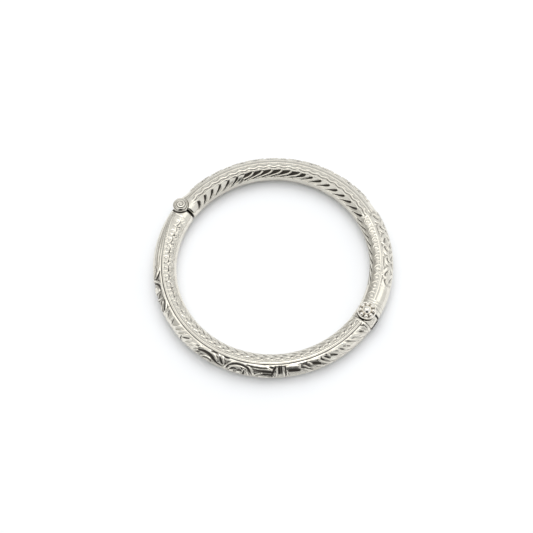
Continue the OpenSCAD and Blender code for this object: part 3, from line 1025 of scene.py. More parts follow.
@dataclass
class FrontHalf(HalfTube):
    """The half with the leaves, the fan and the rope, from the hinge's knuckle to the clasp's boss."""

    name: str = "front_tube"
    node: str = "front_half"
    body: str = "front"
    plan_from: float = RING.hinge_deg + 0.3
    plan_to: float = RING.clasp_deg + 0.7
    recess_r: tuple[float, float] = (3.5, 3.72)
    # Heights of the knuckle's root between the ears' recesses
    recess_z: tuple[float, float] = (0.95, 6.4)
    depth: float = 0.4
    graver_pitch: float = 1.07
    graver_depth: float = 0.06
    facet_depth: float = 0.12
    strand_pitch: float = 1.1
    vine_rise: float = 0.24
    lobe_depth: float = 0.26
    scallop_rise: float = 0.15
    rim_deg: float = RING.clasp_deg - 5.6
    vine_deg: float = 238.5
    lobe_deg: float = 153.0
    lobe_lean: float = -0.16
    carved: Span = (180, 184, 321.5, 323)
    # Leaves before the deep S, which lie shallow and bright
    shallow: Span = (203, 208, 228, 233)
    faceted: Span = (150, 154, 176, 184)
    ridged: Span = (151, 155, 322.5, 323.5)
    lobed: Span = (150.5, 153, 319.5, 321)

    def reach(self, out: Array, up: Array) -> tuple[Array, Array]:
        """From the seam and wedge at the hinge to the seam at the clasp."""
        return RING.hinge_deg + hinge_reach(out, up, False), RING.clasp_deg + clasp_reach(out, -1)

    def closing(self, section: Array, lift: Array, end: int) -> Array:
        """Closing rows as for any half, and at the clasp rows that run down the tongue's level pocket.

        From the pocket's back the rows grow to its rectangle, follow its walls to the seam, and
        grow on from the rectangle to the section. At an angle the rectangle lies where the larger
        of cosine over half width and sine over half height is 1.

        Args:
            section: section angles of a row.
            lift: height of the end row above the plain section in mm.
            end: 0 for the hinge's end, 1 for the clasp's.

        Returns:
            The rows.
        """
        if end == 0:
            return super().closing(section, lift, end)
        t = np.radians(section)
        rim = 1 / np.maximum(np.abs(np.cos(t)) / Clasp.pocket_half_w, np.abs(np.sin(t)) / Clasp.pocket_half_h)
        back, face = -Clasp.pocket_depth, RING.seam_at - RING.seam / 2
        rows = [(share, back) for share in (0.0, 0.4, 0.8, 0.999)]
        rows += [(1.0, along) for along in np.linspace(back, face, 8)]
        share, along = np.array(rows).T[..., None]
        size = share * rim
        pocket = at_seam(size * np.cos(t), along + 0 * size, RING.half_h + size * np.sin(t))
        grow = np.linspace(0, 1, 7)[1:-1, None]
        out = RING.radius + ((1 - grow) * rim + grow * (RING.half_w + lift)) * np.cos(t)
        up = RING.half_h + ((1 - grow) * rim + grow * (RING.half_h + lift)) * np.sin(t)
        return np.concatenate([pocket, self.on_end(out, up, end)])

    def petals(self) -> list[Stroke]:
        """Curling petals on the top of the tube from the hinge to where the vine starts.

        Returns:
            The strokes.
        """
        out = []
        for k, plan in enumerate(np.arange(154.5, 224, 5.6)):
            uneven = math.sin(1.9 * k)
            out += placed(PETAL, plan, 101 + 2 * uneven, k % 2 == 0, 1.0 + 0.1 * uneven)
            out += placed(PETAL, plan + 2.7 + 0.5 * uneven, 126 + 2 * uneven, k % 2 == 1, 0.95)
        return out

    def relief(self, plan: Array, section: Array) -> Relief:
        """Outer band, ridge, petals and vine on top, inner lobes, and the ends.

        Args:
            plan: plan angles in degrees.
            section: section angles in degrees.

        Returns:
            The height and the ink.
        """
        # The ridge over the outer band comes down to the hinge
        ridge = 83.0 - 26.0 * fall(plan, 149, 172)
        above = between(plan, *self.ridged)
        petals = fall(plan, 196, 220)
        return total(
            self.outer_band(plan, section, ridge),
            self.double_ridge(plan, section, ridge, above),
            self.vine(plan, section, ridge, above * (1 - petals)),
            self.petal_rows(plan, section, ridge, above, petals),
            self.lobes(plan, section, petals),
            self.ends(plan, section),
        )

    def outer_band(self, plan: Array, section: Array, ridge: Array) -> Relief:
        """Carved leaves, fan and rope, graver lines low on the face, and facets that run to the hinge.

        Args:
            plan: plan angles in degrees.
            section: section angles in degrees.
            ridge: section angle of the ridge at each point.

        Returns:
            The height and the ink.
        """
        # The ground is shallow under the ridge and deep lower down
        band = between(section, -26, -14, ridge - 8, ridge - 3) * (1 - 0.75 * ramp(section, 56, 68))
        carved = between(plan, *self.carved)
        shallow = between(plan, *self.shallow)
        # The rope brightens towards the clasp
        bright = ramp(plan, 293, 305)
        rise, cut, dark = chase(plan, section, FRONT_STROKES)
        in_band = between(section, -26, -14, ridge - 5, ridge - 2)
        depth = (1 - 0.5 * shallow - 0.12 * bright) * (self.depth - np.minimum(rise, self.depth))
        height = -band * carved * depth - cut * in_band
        ground = band * carved * (1 - np.clip(rise / 0.26, 0, 1)) * ramp(section, -8, 12)
        ink = in_band * dark * (1 - 0.25 * bright) + (0.4 - 0.45 * shallow - 0.34 * bright) * ground
        low = between(section, -30, -18, 16, 36) * carved
        height -= self.graver_depth * stripes(plan, section, self.graver_pitch, 0.05) * low
        line = bump(part_of((plan + 0.05 * section) / self.graver_pitch) * 2 - 1)
        ink += 0.22 * low * line * (1 - np.clip(rise / 0.3, 0, 1))
        facets = sum(bump((section / ridge - k) / 0.05) for k in (0.2, 0.5, 0.76))
        return height - self.facet_depth * facets * between(plan, *self.faceted), ink

    def double_ridge(self, plan: Array, section: Array, ridge: Array, above: Array) -> Relief:
        """Two strands twisted as wire, with dark grooves beside and between them.

        Args:
            plan: plan angles in degrees.
            section: section angles in degrees.
            ridge: section angle of the ridge at each point.
            above: 1 where the ridge and what lies above it are worked, 0 beyond.

        Returns:
            The height and the ink.
        """
        twist = plan - 0.25 * (section - ridge)
        height = 0.12 * bead_line(twist, section, ridge - 0.8, 0.2, self.strand_pitch)
        height += 0.19 * bead_line(twist, section, ridge + 5.6, 0.22, self.strand_pitch)
        height -= 0.08 * bump((section - ridge + 5.8) / 3.0)
        # Darkness, middle and half width in section degrees of each groove
        grooves = ((0.8, -5.6, 3.6), (0.55, 2.4, 2.6), (0.35, 9.6, 2.6))
        ink = sum(dark * bump((section - ridge - at) / half) for dark, at, half in grooves)
        return above * height, above * (0.4 + 0.6 * ramp(plan, 166, 186)) * ink

    def vine(self, plan: Array, section: Array, ridge: Array, here: Array) -> Relief:
        """A vine of short slanting leaves under arches, with a dark cut beside each leaf.

        Args:
            plan: plan angles in degrees.
            section: section angles in degrees.
            ridge: section angle of the ridge at each point.
            here: 1 where the vine is, 0 beyond.

        Returns:
            The height and the ink.
        """
        turn = part_of((plan - self.vine_deg) / self.gadroon_pitch)
        leaf = rounded(off_line(section, 104 + 18 * turn, 0.38)) * between(turn, 0.0, 0.12, 0.55, 0.7)
        back_leaf = rounded(off_line(section, 112 - 20 * (turn - 0.5), 0.3))
        back_leaf = back_leaf * between(turn, 0.45, 0.6, 0.92, 1.0)
        cuts = np.maximum(
            bump(off_line(section, 108 + 16 * (turn - 0.72), 0.32)) * bump((turn - 0.76) / 0.2),
            0.7 * bump(off_line(section, 101 + 12 * turn, 0.26)) * bump((turn - 0.25) / 0.24),
        ) * (0.12 + 0.88 * ramp(plan, 215, 238))
        arch = 95 + 20 * (2 * turn - 1) ** 2
        height = self.vine_rise * np.maximum(leaf, 0.8 * back_leaf)
        height += 0.12 * bead_line(plan, section, ridge + 13.5, 0.22, 1.35)
        height += 0.1 * bump(off_line(section, arch, 0.24)) - 0.08 * cuts
        ink = 0.85 * cuts + 0.1 * self.on_top(section, ridge) * (1 - np.maximum(leaf, back_leaf))
        return here * height, here * (ink + 0.3 * bump((section - arch + 4.5) / 2.6))

    def on_top(self, section: Array, ridge: Array) -> Array:
        """The strip between the ridge and the inner face."""
        return between(section, ridge + 6, ridge + 10, 115, 121)

    def petal_rows(self, plan: Array, section: Array, ridge: Array, above: Array, petals: Array) -> Relief:
        """The chased petals, on a strip that lies a little lower all along the tube.

        Args:
            plan: plan angles in degrees.
            section: section angles in degrees.
            ridge: section angle of the ridge at each point.
            above: 1 where the ridge and what lies above it are worked, 0 beyond.
            petals: 1 where the petals are, 0 beyond.

        Returns:
            The height and the ink.
        """
        rise, cut, dark = chase(plan, section, self.petals())
        height = petals * (0.45 * rise - cut) - 0.09 * self.on_top(section, ridge)
        return above * height, 0.42 * above * petals * dark

    def lobes(self, plan: Array, section: Array, petals: Array) -> Relief:
        """Lobes down the inner face, with a scalloped edge.

        Args:
            plan: plan angles in degrees.
            section: section angles in degrees.
            petals: 1 beside the petals, 0 beyond.

        Returns:
            The height and the ink.
        """
        here = between(plan, *self.lobed)
        soft = (1 - 0.45 * bump((plan - 198) / 30)) * (1 - 0.6 * petals)
        slots = self.gadroons(plan, section, self.lobe_deg, self.lobe_lean, 119.0, 0.24, True)
        turn = part_of((plan - self.lobe_deg - self.lobe_lean * (section - 116)) / self.gadroon_pitch)
        edge = 120 - 4 * petals + (5 + 11 * petals) * (2 * turn - 1) ** 2
        height = self.scallop_rise * bump(off_line(section, edge, 0.34)) - self.lobe_depth * soft * slots
        height -= 0.04 * stripes(plan, section, 1.35, 0.16) * between(section, 124, 134, 176, 196)
        ink = 0.34 * soft * np.clip(slots * 1.4 - 0.5, 0, 1) * fall(section, 134, 152)
        ink += (0.3 + 0.35 * petals) * bump((section - edge + 5) / (3.5 + 1.8 * petals))
        return here * height, here * ink

    def ends(self, plan: Array, section: Array) -> Relief:
        """The groove behind the hinge's lip, the clasp's rim, and the engraved neck, with painted shade along
        its underside.

        Args:
            plan: plan angles in degrees.
            section: section angles in degrees.

        Returns:
            The height and the ink.
        """
        past = (plan - self.rim_deg) * RING.mm_per_deg
        groove = bump((past - 0.1) / 0.26)
        neck = ramp(past, 0.1, 0.5)
        engraved = neck * between(section, -20, -8, 168, 180)
        waves = np.sin(np.radians(plan * 62 + section * 5)) * np.sin(np.radians(plan * 31 - section * 7))
        # Painted shade along the neck's underside, a dark edge where it turns down
        under = neck * between(section, -30, -26, 9, 19)
        height = -0.14 * bump(((plan - RING.hinge_deg) * RING.mm_per_deg - 4.3) / 0.3)
        height -= 0.24 * groove + 0.2 * bump((past + 1.2) / 0.22) + 0.08 * under
        height -= 0.09 * engraved * bump(waves / 0.5)
        height += neck * (0.1 * bump((past - 2.7) / 2.6) + 0.2 * bump((section + 4) / 40))
        return height, 0.8 * groove + 0.3 * engraved * bump(waves / 0.4) + under

    def recessed(self, z: Array, far: Array, ink: Array) -> tuple[Array, Array]:
        """Cuts the round recesses in which the ears turn, and paints shade into them and onto their rim.

        Args:
            z: heights.
            far: distances from the pin.
            ink: darkness with tarnish and painted shade.

        Returns:
            The heights and the darkness.
        """
        inside = fall(far, *self.recess_r)
        top = lowered(z, inside, self.recess_z[1])
        # Painted shade in the gap round the ears: on the recess's rim and down its walls
        rim = bump((far - self.recess_r[1]) / 0.34) * (z > 6)
        ink = np.maximum(ink, np.maximum(rim, 0.95 * np.clip((z - top) / 0.3, 0, 1)))
        return np.maximum(top, self.recess_z[0] * inside - (1 - inside)), ink


@dataclass
class BackHalf(HalfTube):
    """The half with the deep gadroons inside, from the clasp's seam to the hinge's ears."""

    name: str = "back_tube"
    node: str = "back_half"
    body: str = "back"
    plan_from: float = RING.clasp_deg - 360 + 1.3
    plan_to: float = RING.hinge_deg - 0.3
    recess_r: tuple[float, float] = (3.36, 3.6)
    lip: tuple[float, float] = (0.25, 1.2)
    depth: float = 0.19
    leaf_depth: float = 0.36
    line_rise: float = 0.17
    vine_rise: float = 0.2
    scallop_rise: float = 0.26
    crest_rise: float = 0.12
    # Depths of the slots near the clasp and beyond
    slot_depth: tuple[float, float] = (0.3, 0.5)
    cap_seat_z: float = 7.9
    hollow_r: float = 2.7
    gadroon_deg: float = 30.5
    gadroon_lean: float = 0.14
    slit_deg: float = 34.9
    worked: Span = (-24, -22.5, 138.5, 140.5)
    leafed: Span = (28, 30, 138, 140.5)
    lobed: Span = (-15, -13, 139.5, 141)
    broad: Span = (66, 74, 104, 112)

    def reach(self, out: Array, up: Array) -> tuple[Array, Array]:
        """From the seam and boss's hollow at the clasp to the seam, wedge and knuckle's hollow."""
        from_clasp = RING.clasp_deg - 360 + clasp_reach(out, 1, self.hollow_r)
        return from_clasp, RING.hinge_deg - hinge_reach(out, up, True)

    def slits(self, plan: Array, section: Array) -> Array:
        """Narrow slits between the lobes, each in outline like a closing bracket, as depth from 0 to 1.

        From top to foot a slit's middle line drifts by 6 or 7 plan degrees, or less near the hinge, and
        bows the other way by 1.2. Its half width in mm runs as a half ellipse over 36 to 44 section
        degrees that start at 117. The slits are longer and narrower towards the hinge.

        Args:
            plan: plan angles.
            section: section angles.

        Returns:
            The depth.
        """
        far_side = ramp(plan, 90, 116)
        reach = 18 + 4 * far_side
        u = np.clip((section - 117 - reach) / reach, -1, 1)
        drift = 3.3 - 0.4 * far_side - 1.5 * ramp(plan, 124, 142)
        middle = self.slit_deg + drift * (u + 1) - 1.2 * (1 - u * u)
        # A plan degree is 0.77 mm long where the slits lie
        off = (part_of((plan - middle) / self.gadroon_pitch + 0.5) - 0.5) * self.gadroon_pitch * 0.77
        half = (0.95 - 0.15 * far_side) * np.sqrt(np.maximum(1 - u * u, 0))
        return fall(np.abs(off), half - 0.14, half + 0.1) * ramp(half, 0.1, 0.28)

    def curls_and_ovals(self) -> list[Stroke]:
        """Curling leaves of the outer band and oval cells on top, up to where the gadroons deepen.

        Returns:
            The strokes.
        """
        out = []
        for k, plan in enumerate(np.arange(-12.2, 30, 6.1)):
            uneven = math.sin(2.3 * k)
            out += placed(CURL, plan, 59 + 3 * uneven, k % 3 == 1, 1.1 + 0.12 * uneven)
            out += placed(CURL, plan + 2.9 + 0.6 * uneven, 30 - 2 * uneven, k % 3 != 1, 1.1)
        for k, plan in enumerate(np.arange(-20.6, 34, 5.6)):
            uneven = math.sin(1.7 * k)
            out += placed(OVAL, plan + 0.6 * uneven, 112 + 2 * uneven, False, 1.05 + 0.1 * math.sin(2.9 * k))
        return out

    def leaves(self) -> list[Stroke]:
        """Leaves and arches of the outer band past the curling leaves, in pairs that face each other.

        Returns:
            The strokes.
        """
        out = []
        for k, plan in enumerate(np.arange(39.0, 138, 14.2)):
            out += placed(CELL, plan, 26, bool(k % 2), 1.3)
            out += placed(CELL, plan + 7.1, 24, not k % 2, 1.3)
            out += strokes_from([
                (LEAF, (plan + 2.2, -14), (plan + 3.6, 30), (plan + 3.5, 46), (0.7, 0.9, 0.2)),
                (LEAF, (plan + 9.6, -14), (plan + 10.8, 30), (plan + 10.6, 46), (0.7, 0.9, 0.2)),
            ])
        return out

    def relief(self, plan: Array, section: Array) -> Relief:
        """Curls and cells near the clasp, leaves and a vine beyond, gadroons inside, and the collar.

        Args:
            plan: plan angles in degrees.
            section: section angles in degrees.

        Returns:
            The height and the ink.
        """
        near_clasp = fall(plan, 28.5, 30.5)
        along = between(plan, *self.worked)
        return total(
            self.curls(plan, section, near_clasp * along), self.leaves_and_vine(plan, section),
            self.inner_face(plan, section, near_clasp, along), (self.collar(plan, section), 0),
        )

    def curls(self, plan: Array, section: Array, here: Array) -> Relief:
        """Curling leaves and oval cells on a sunk ground, parted by a smooth band.

        Args:
            plan: plan angles in degrees.
            section: section angles in degrees.
            here: 1 where they are, 0 beyond.

        Returns:
            The height and the ink.
        """
        rise, cut, dark = chase(plan, section, self.curls_and_ovals())
        plain = bump((plan + 19.5) / 6) ** 0.3 * fall(section, 76, 84)
        covered = between(section, 12, 20, 132, 138) * here * (1 - np.clip(plain, 0, 1))
        sunk = self.depth - np.minimum(rise, self.depth) + cut
        height = -covered * sunk * (1 - 0.5 * ramp(section, 80, 88))
        smooth = here * bump((section - 89) / 9)
        outer = fall(section, 78, 86)
        ground = (1 - np.clip(rise / 0.14, 0, 1)) * (1 - smooth)
        ink = covered * (dark * (0.2 + 0.1 * outer) + (0.2 + 0.04 * outer) * ground + 0.1 * (1 - outer))
        return height * (1 - 0.8 * smooth) + 0.05 * smooth, ink

    def leaves_and_vine(self, plan: Array, section: Array) -> Relief:
        """Leaves outside, then two beaded lines, a zigzag vine and the gadroons' scalloped rim.

        Args:
            plan: plan angles in degrees.
            section: section angles in degrees.

        Returns:
            The height and the ink.
        """
        here = between(plan, *self.leafed)
        rise, cut, dark = chase(plan, section, self.leaves())
        band = between(section, -26, -14, 44, 56)
        height = -band * (self.leaf_depth - np.minimum(rise, self.leaf_depth) + cut)
        height -= 0.1 * between(section, 60, 62, 107, 110)
        ink = 0.7 * band * dark
        for at, wide in ((63.0, 0.34), (76.0, 0.3)):
            height += self.line_rise * bead_line(plan, section, at, wide, 1.1)
            ink += 0.55 * bump((section - at - 5.2) / 2.8)
        turn = part_of((plan - 30) / self.gadroon_pitch)
        zigzag = 95.5 + 3.0 * np.cos(2 * np.pi * turn)
        leaf = rounded(off_line(section, zigzag - 6, 0.24)) * bump((turn - 0.5) / 0.3)
        height += self.vine_rise * np.maximum(rounded(off_line(section, zigzag, 0.4)), leaf)
        ink += 0.55 * bump((section - zigzag + 6.5) / 3.4) * (1 - leaf)
        ink += 0.55 * bump((section - zigzag - 7.0) / 3.0)
        turn = part_of((plan - 29.5 - 0.12 * (section - 116)) / self.gadroon_pitch)
        height += self.scallop_rise * bump(off_line(section, 110.5 + 4.0 * (2 * turn - 1) ** 2, 0.5))
        return here * height, here * ink

    def inner_face(self, plan: Array, section: Array, near_clasp: Array, along: Array) -> Relief:
        """Gadroons: broad slots in the middle, narrow slits beside them, faint slots near the clasp, and
        painted shade low on the face.

        Args:
            plan: plan angles in degrees.
            section: section angles in degrees.
            near_clasp: 1 near the clasp, 0 beyond.
            along: 1 where the half is worked, 0 at its ends.

        Returns:
            The height and the ink.
        """
        here = between(plan, *self.lobed)
        broad = between(plan, *self.broad)
        narrow = (1 - near_clasp) * (1 - broad)
        top, wide = 114 + 21 * near_clasp, (0.34 + 0.42 * broad) * (1 - narrow)
        slots = self.gadroons(plan, section, self.gadroon_deg, self.gadroon_lean, top, wide, False)
        slots = np.maximum(slots, narrow * self.slits(plan, section))
        from_first = upright(plan, section, self.gadroon_lean) - self.gadroon_deg
        turn = part_of(from_first / self.gadroon_pitch - 0.5)
        crest = bump((turn - 0.5) / 0.1) * broad * between(section, 112, 118, 150, 164)
        ink = here * (1 - 0.62 * near_clasp) * np.clip(slots * 1.5 - 0.35, 0, 1)
        # Painted shade low on the inner face, standing in for the reflection of the ring's shadowed floor
        ink += 0.4 * along * between(section, 148, 160, 196, 206)
        deep = self.slot_depth[1] + (self.slot_depth[0] - self.slot_depth[1]) * near_clasp
        return here * (self.crest_rise * crest - deep * slots), ink

    def collar(self, plan: Array, section: Array) -> Array:
        """The stepped collar's grooves at the clasp.

        Args:
            plan: plan angles in degrees.
            section: section angles in degrees.

        Returns:
            The height.
        """
        # Depth of each groove, its middle and its half width in plan degrees
        grooves = ((0.24, -26.9, 0.6), (0.2, -24.9, 0.45), (0.14, -23.4, 0.35))
        steps = sum(deep * bump((plan - at) / half) for deep, at, half in grooves)
        return -steps * between(section, -30, -10, 150, 190)

    def recessed(self, z: Array, far: Array, ink: Array) -> tuple[Array, Array]:
        """Cuts the round seat of the pin's cap, and paints shade round its rim, under the cap's edge."""
        # Painted shade in the gap under the cap's edge
        ink = np.maximum(ink, 0.9 * bump((far - 3.42) / 0.3) * (z > 7))
        return lowered(z, fall(far, *self.recess_r), self.cap_seat_z), ink


# Hinge

@dataclass
class Hinge:
    """Knuckle on the front half, ears on the back half, and the pin's engraved cap."""

    ear_d: float = 6.3
    ear_t: float = 1.0
    lower_ear_z: float = 0.5
    upper_ear_z: float = 6.95
    knuckle_d: float = 6.0
    clearance: float = 0.16
    cap_d: float = 6.4
    dome_d: float = 5.6
    cap_z: float = 7.95
    dome_z: float = 8.5
    dome_h: float = 1.15
    pin_d: float = 2.0
    spiral_turns: float = 2.6
    spiral_depth: float = 0.2

    def knuckle(self, finish: Material) -> None:
        """The front half's knuckle: a barrel with a deep chamfer at its top and foot.

        Args:
            finish: its material.
        """
        r = self.knuckle_d / 2
        low, high = self.lower_ear_z + self.ear_t + self.clearance, self.upper_ear_z - self.clearance
        corners = [(0, high), (r - 0.75, high), *arc((r - 0.8, high - 0.85), 0.8, 80, 0, 7),
                   *arc((r - 0.8, low + 0.85), 0.8, 0, -80, 7), (r - 0.75, low), (0, low)]
        dress(lathe("hinge_knuckle", HINGE, through(corners, 0.3), 96), finish, "front")

    def ear(self, name: str, z: float, finish: Material) -> None:
        """One of the back half's ears: a round plate with a rolled rim and a groove beneath the roll.

        Args:
            name: the ear's name.
            z: height of its underside.
            finish: its material.
        """
        r, t = self.ear_d / 2, self.ear_t
        corners = [(0, z + t), (r - 0.32, z + t), *arc((r - 0.28, z + t - 0.28), 0.28, 90, -60, 8),
                   (r - 0.3, z + t - 0.62), *arc((r - 0.22, z + 0.22), 0.22, 40, -90, 5), (0, z)]
        dress(lathe(name, HINGE, through(corners, 0.3), 96), finish, "back")

    def cap(self, finish: Material) -> None:
        """The pin and its cap: a dome with a spiral cut into it, on a plate with a rounded edge.

        The dome's radius and height run as the sine and cosine of an angle. A spiral groove lies
        where the radius, less the angle's share of its pitch, is a whole number of pitches.

        Args:
            finish: its material.
        """
        r, z, foot, high = self.cap_d / 2, self.cap_z, self.dome_z, self.dome_h
        edge, pin = self.dome_d / 2, self.pin_d / 2
        turns = np.linspace(0, 1.45, 26)
        rise = [(edge * math.sin(t), foot - 0.1 + (high + 0.1) * math.cos(t)) for t in turns]
        corners = [*rise, (edge + 0.03, foot - 0.12), *arc((r - 0.2, foot - 0.2), 0.2, 130, -60, 9),
                   (r - 0.28, z), (pin, z), (pin, self.lower_ear_z), (0, self.lower_ear_z)]
        pitch = (edge - 0.2) / self.spiral_turns

        def engrave(local: Array) -> tuple[Array, Array]:
            """Sinks the spiral into the dome, and darkens it and the dome's foot.

            Args:
                local: the cap's points seen from the pin.

            Returns:
                The points and their recess values.
            """
            far = np.hypot(local[..., 0], local[..., 1])
            turn = np.arctan2(local[..., 1], local[..., 0]) / (2 * np.pi)
            on_dome = between(far, 0.2, 0.6, edge - 0.55, edge - 0.3) * (local[..., 2] > foot)
            groove = on_dome * bump((part_of(far / pitch - turn) - 0.5) / 0.28)
            at_foot = bump((far - edge) / 0.16) * (local[..., 2] < foot + 0.25)
            return with_height(local, local[..., 2] - self.spiral_depth * groove), groove + at_foot

        piece = lathe("hinge_cap", HINGE, through(corners, 0.16), 128, engrave)
        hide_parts("hinge_pin")
        dress(piece, finish, "back")

    def build(self, silver: Material, cap_silver: Material) -> None:
        """Builds the hinge's pieces.

        Args:
            silver: the chased silver.
            cap_silver: the cap's engraved silver.
        """
        self.knuckle(silver)
        self.ear("upper_ear", self.upper_ear_z, silver)
        self.ear("lower_ear", self.lower_ear_z, silver)
        self.cap(cap_silver)


# Clasp

@dataclass
class Clasp:
    """The front half's boss, the back half's forked tongue, and the rosette screw."""

    boss_r: float = 2.3
    bore_r: float = 1.25
    foot_z: float = 0.25
    top_z: float = 7.95
    seat_r: float = 4.2
    seat_z: float = 7.5
    pocket_half_w: float = 3.15
    pocket_half_h: float = 1.15
    pocket_depth: float = 3.3
    tongue_w: float = 5.6
    tongue_t: float = 2.0
    tongue_tip: float = 2.7
    tongue_root: float = 7.4
    slot_w: float = 2.6
    plate_r: float = 3.9
    plate_t: float = 0.8
    rim_r: float = 0.3
    ball_r: float = 2.0
    ball_z: float = 9.0
    small_ball_r: float = 0.87
    small_balls: int = 8
    screw_r: float = 1.1

    def boss(self, finish: Material) -> None:
        """The boss's two rings, under and over the pocket, with soft edges and the screw's bore.

        Args:
            finish: its material.
        """
        under, over = RING.half_h - self.pocket_half_h, RING.half_h + self.pocket_half_h
        r, bore, soft = self.boss_r, self.bore_r, 0.12
        for name, low, high in (("boss_foot", self.foot_z, under), ("boss_top", over, self.top_z)):
            corners = [(bore, high), (r - soft, high), *arc((r - soft, high - soft), soft, 80, 0, 4),
                       *arc((r - soft, low + soft), soft, 0, -80, 4), (r - soft, low), (bore, low),
                       (bore, high)]
            dress(lathe(name, CLASP, through(corners, 0.4), 72), finish, "front")

    def tongue(self, finish: Material) -> None:
        """The forked tongue: a plate whose outline runs round an open slot, its edges softened.

        Args:
            finish: its material.
        """
        half, slot, tip, root = self.tongue_w / 2, self.slot_w / 2, -self.tongue_tip, self.tongue_root
        across, along = np.array([
            (-half, root), (-half, tip + 0.6), (-half + 0.5, tip), (-slot, tip),
            *arc((0, 0), slot, 180, 0, 17),
            (slot, tip), (half - 0.5, tip), (half, tip + 0.6), (half, root),
        ]).T
        n = len(across)
        levels = (RING.half_h - self.tongue_t / 2, RING.half_h + self.tongue_t / 2)
        points = np.concatenate([at_seam(across, along, np.full(n, z)) for z in levels])
        sides = [[k, (k + 1) % n, n + (k + 1) % n, n + k] for k in range(n)]
        piece = mesh_piece("clasp_tongue", points, [*sides, list(range(n))[::-1], list(range(n, 2 * n))])
        edge = piece.modifiers.new("edge", "BEVEL")
        edge.width, edge.segments = 0.15 * MM, 2
        edge.limit_method, edge.angle_limit = "ANGLE", math.radians(50)
        dress(weld(piece), finish, "back")

    def ball(self, name: str, stand: Stand, radius: float, z: float, columns: int, dark: float,
             foot: tuple[float, float], finish: Material) -> None:
        """One ball, with painted shade where it meets the plate.

        Args:
            name: the piece's name.
            stand: the ball's axis.
            radius: its radius in mm.
            z: its middle's height.
            columns: number of columns.
            dark: strength of the painted shade at its foot.
            foot: heights from which the darkness fades, and to which.
            finish: its material.
        """
        high = np.linspace(0, np.pi, 25)
        profile = np.stack([radius * np.sin(high), z + radius * np.cos(high)], -1)
        # Painted shade at the ball's foot, where it meets the plate
        piece = lathe(name, stand, profile, columns, tarnish_and_shade=dark * fall(profile[:, 1], *foot))
        dress(piece, finish, "screw")

    def rosette(self, finish: Material) -> None:
        """The screw: a shaft and plate with a rolled rim, a ring of small balls and a large one.

        Args:
            finish: its material.
        """
        r, z, bead = self.plate_r, self.top_z, self.rim_r
        top, foot = z + self.plate_t, self.foot_z + 0.2
        corners = [(0, top), (r - 2 * bead, top), *arc((r - bead, top), bead, 180, 0, 13),
                   *arc((r - 0.25, z + 0.25), 0.25, 0, -90, 6), (self.screw_r, z),
                   (self.screw_r, foot + 0.2), (self.screw_r - 0.2, foot), (0, foot)]
        profile = through(corners, 0.3)
        # Tarnish and painted shade on the plate's ground between the balls
        ground = 0.85 * fall(profile[:, 0], r - 0.75, r - 0.5) * (profile[:, 1] > top - 0.01)
        plate = lathe("rosette_plate", CLASP, profile, 128, tarnish_and_shade=ground)
        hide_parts("clasp_screw")
        dress(plate, finish, "screw")
        self.ball("rosette_ball", CLASP, self.ball_r, self.ball_z, 64, 0.9, (top - 0.2, top + 0.05), finish)
        # The small balls nearly touch each other and the large one
        ring = r - self.small_ball_r - 0.42
        for k in range(self.small_balls):
            turn = 2 * math.pi * (k + 0.5) / self.small_balls
            x, y, _ = CLASP.to_ring(np.array([ring * math.cos(turn), ring * math.sin(turn), 0.0]))
            stand = Stand(math.degrees(math.atan2(y, x)), math.hypot(x, y))
            self.ball(f"rosette_small_ball_{k}", stand, self.small_ball_r, top + 0.4, 40, 0.7,
                      (top - 0.15, top + 0.1), finish)

    def build(self, silver: Material, rosette_silver: Material) -> None:
        """Builds the clasp's pieces.

        Args:
            silver: the chased silver.
            rosette_silver: the rosette's silver.
        """
        self.boss(silver)
        self.tongue(silver)
        self.rosette(rosette_silver)


# Studio

def towards(azimuth: float, elevation: float) -> Vector:
    """The direction of a place seen from the ring, from angles in degrees."""
    a, e = math.radians(azimuth), math.radians(elevation)
    return Vector((math.sin(a) * math.cos(e), -math.cos(a) * math.cos(e), math.sin(e)))


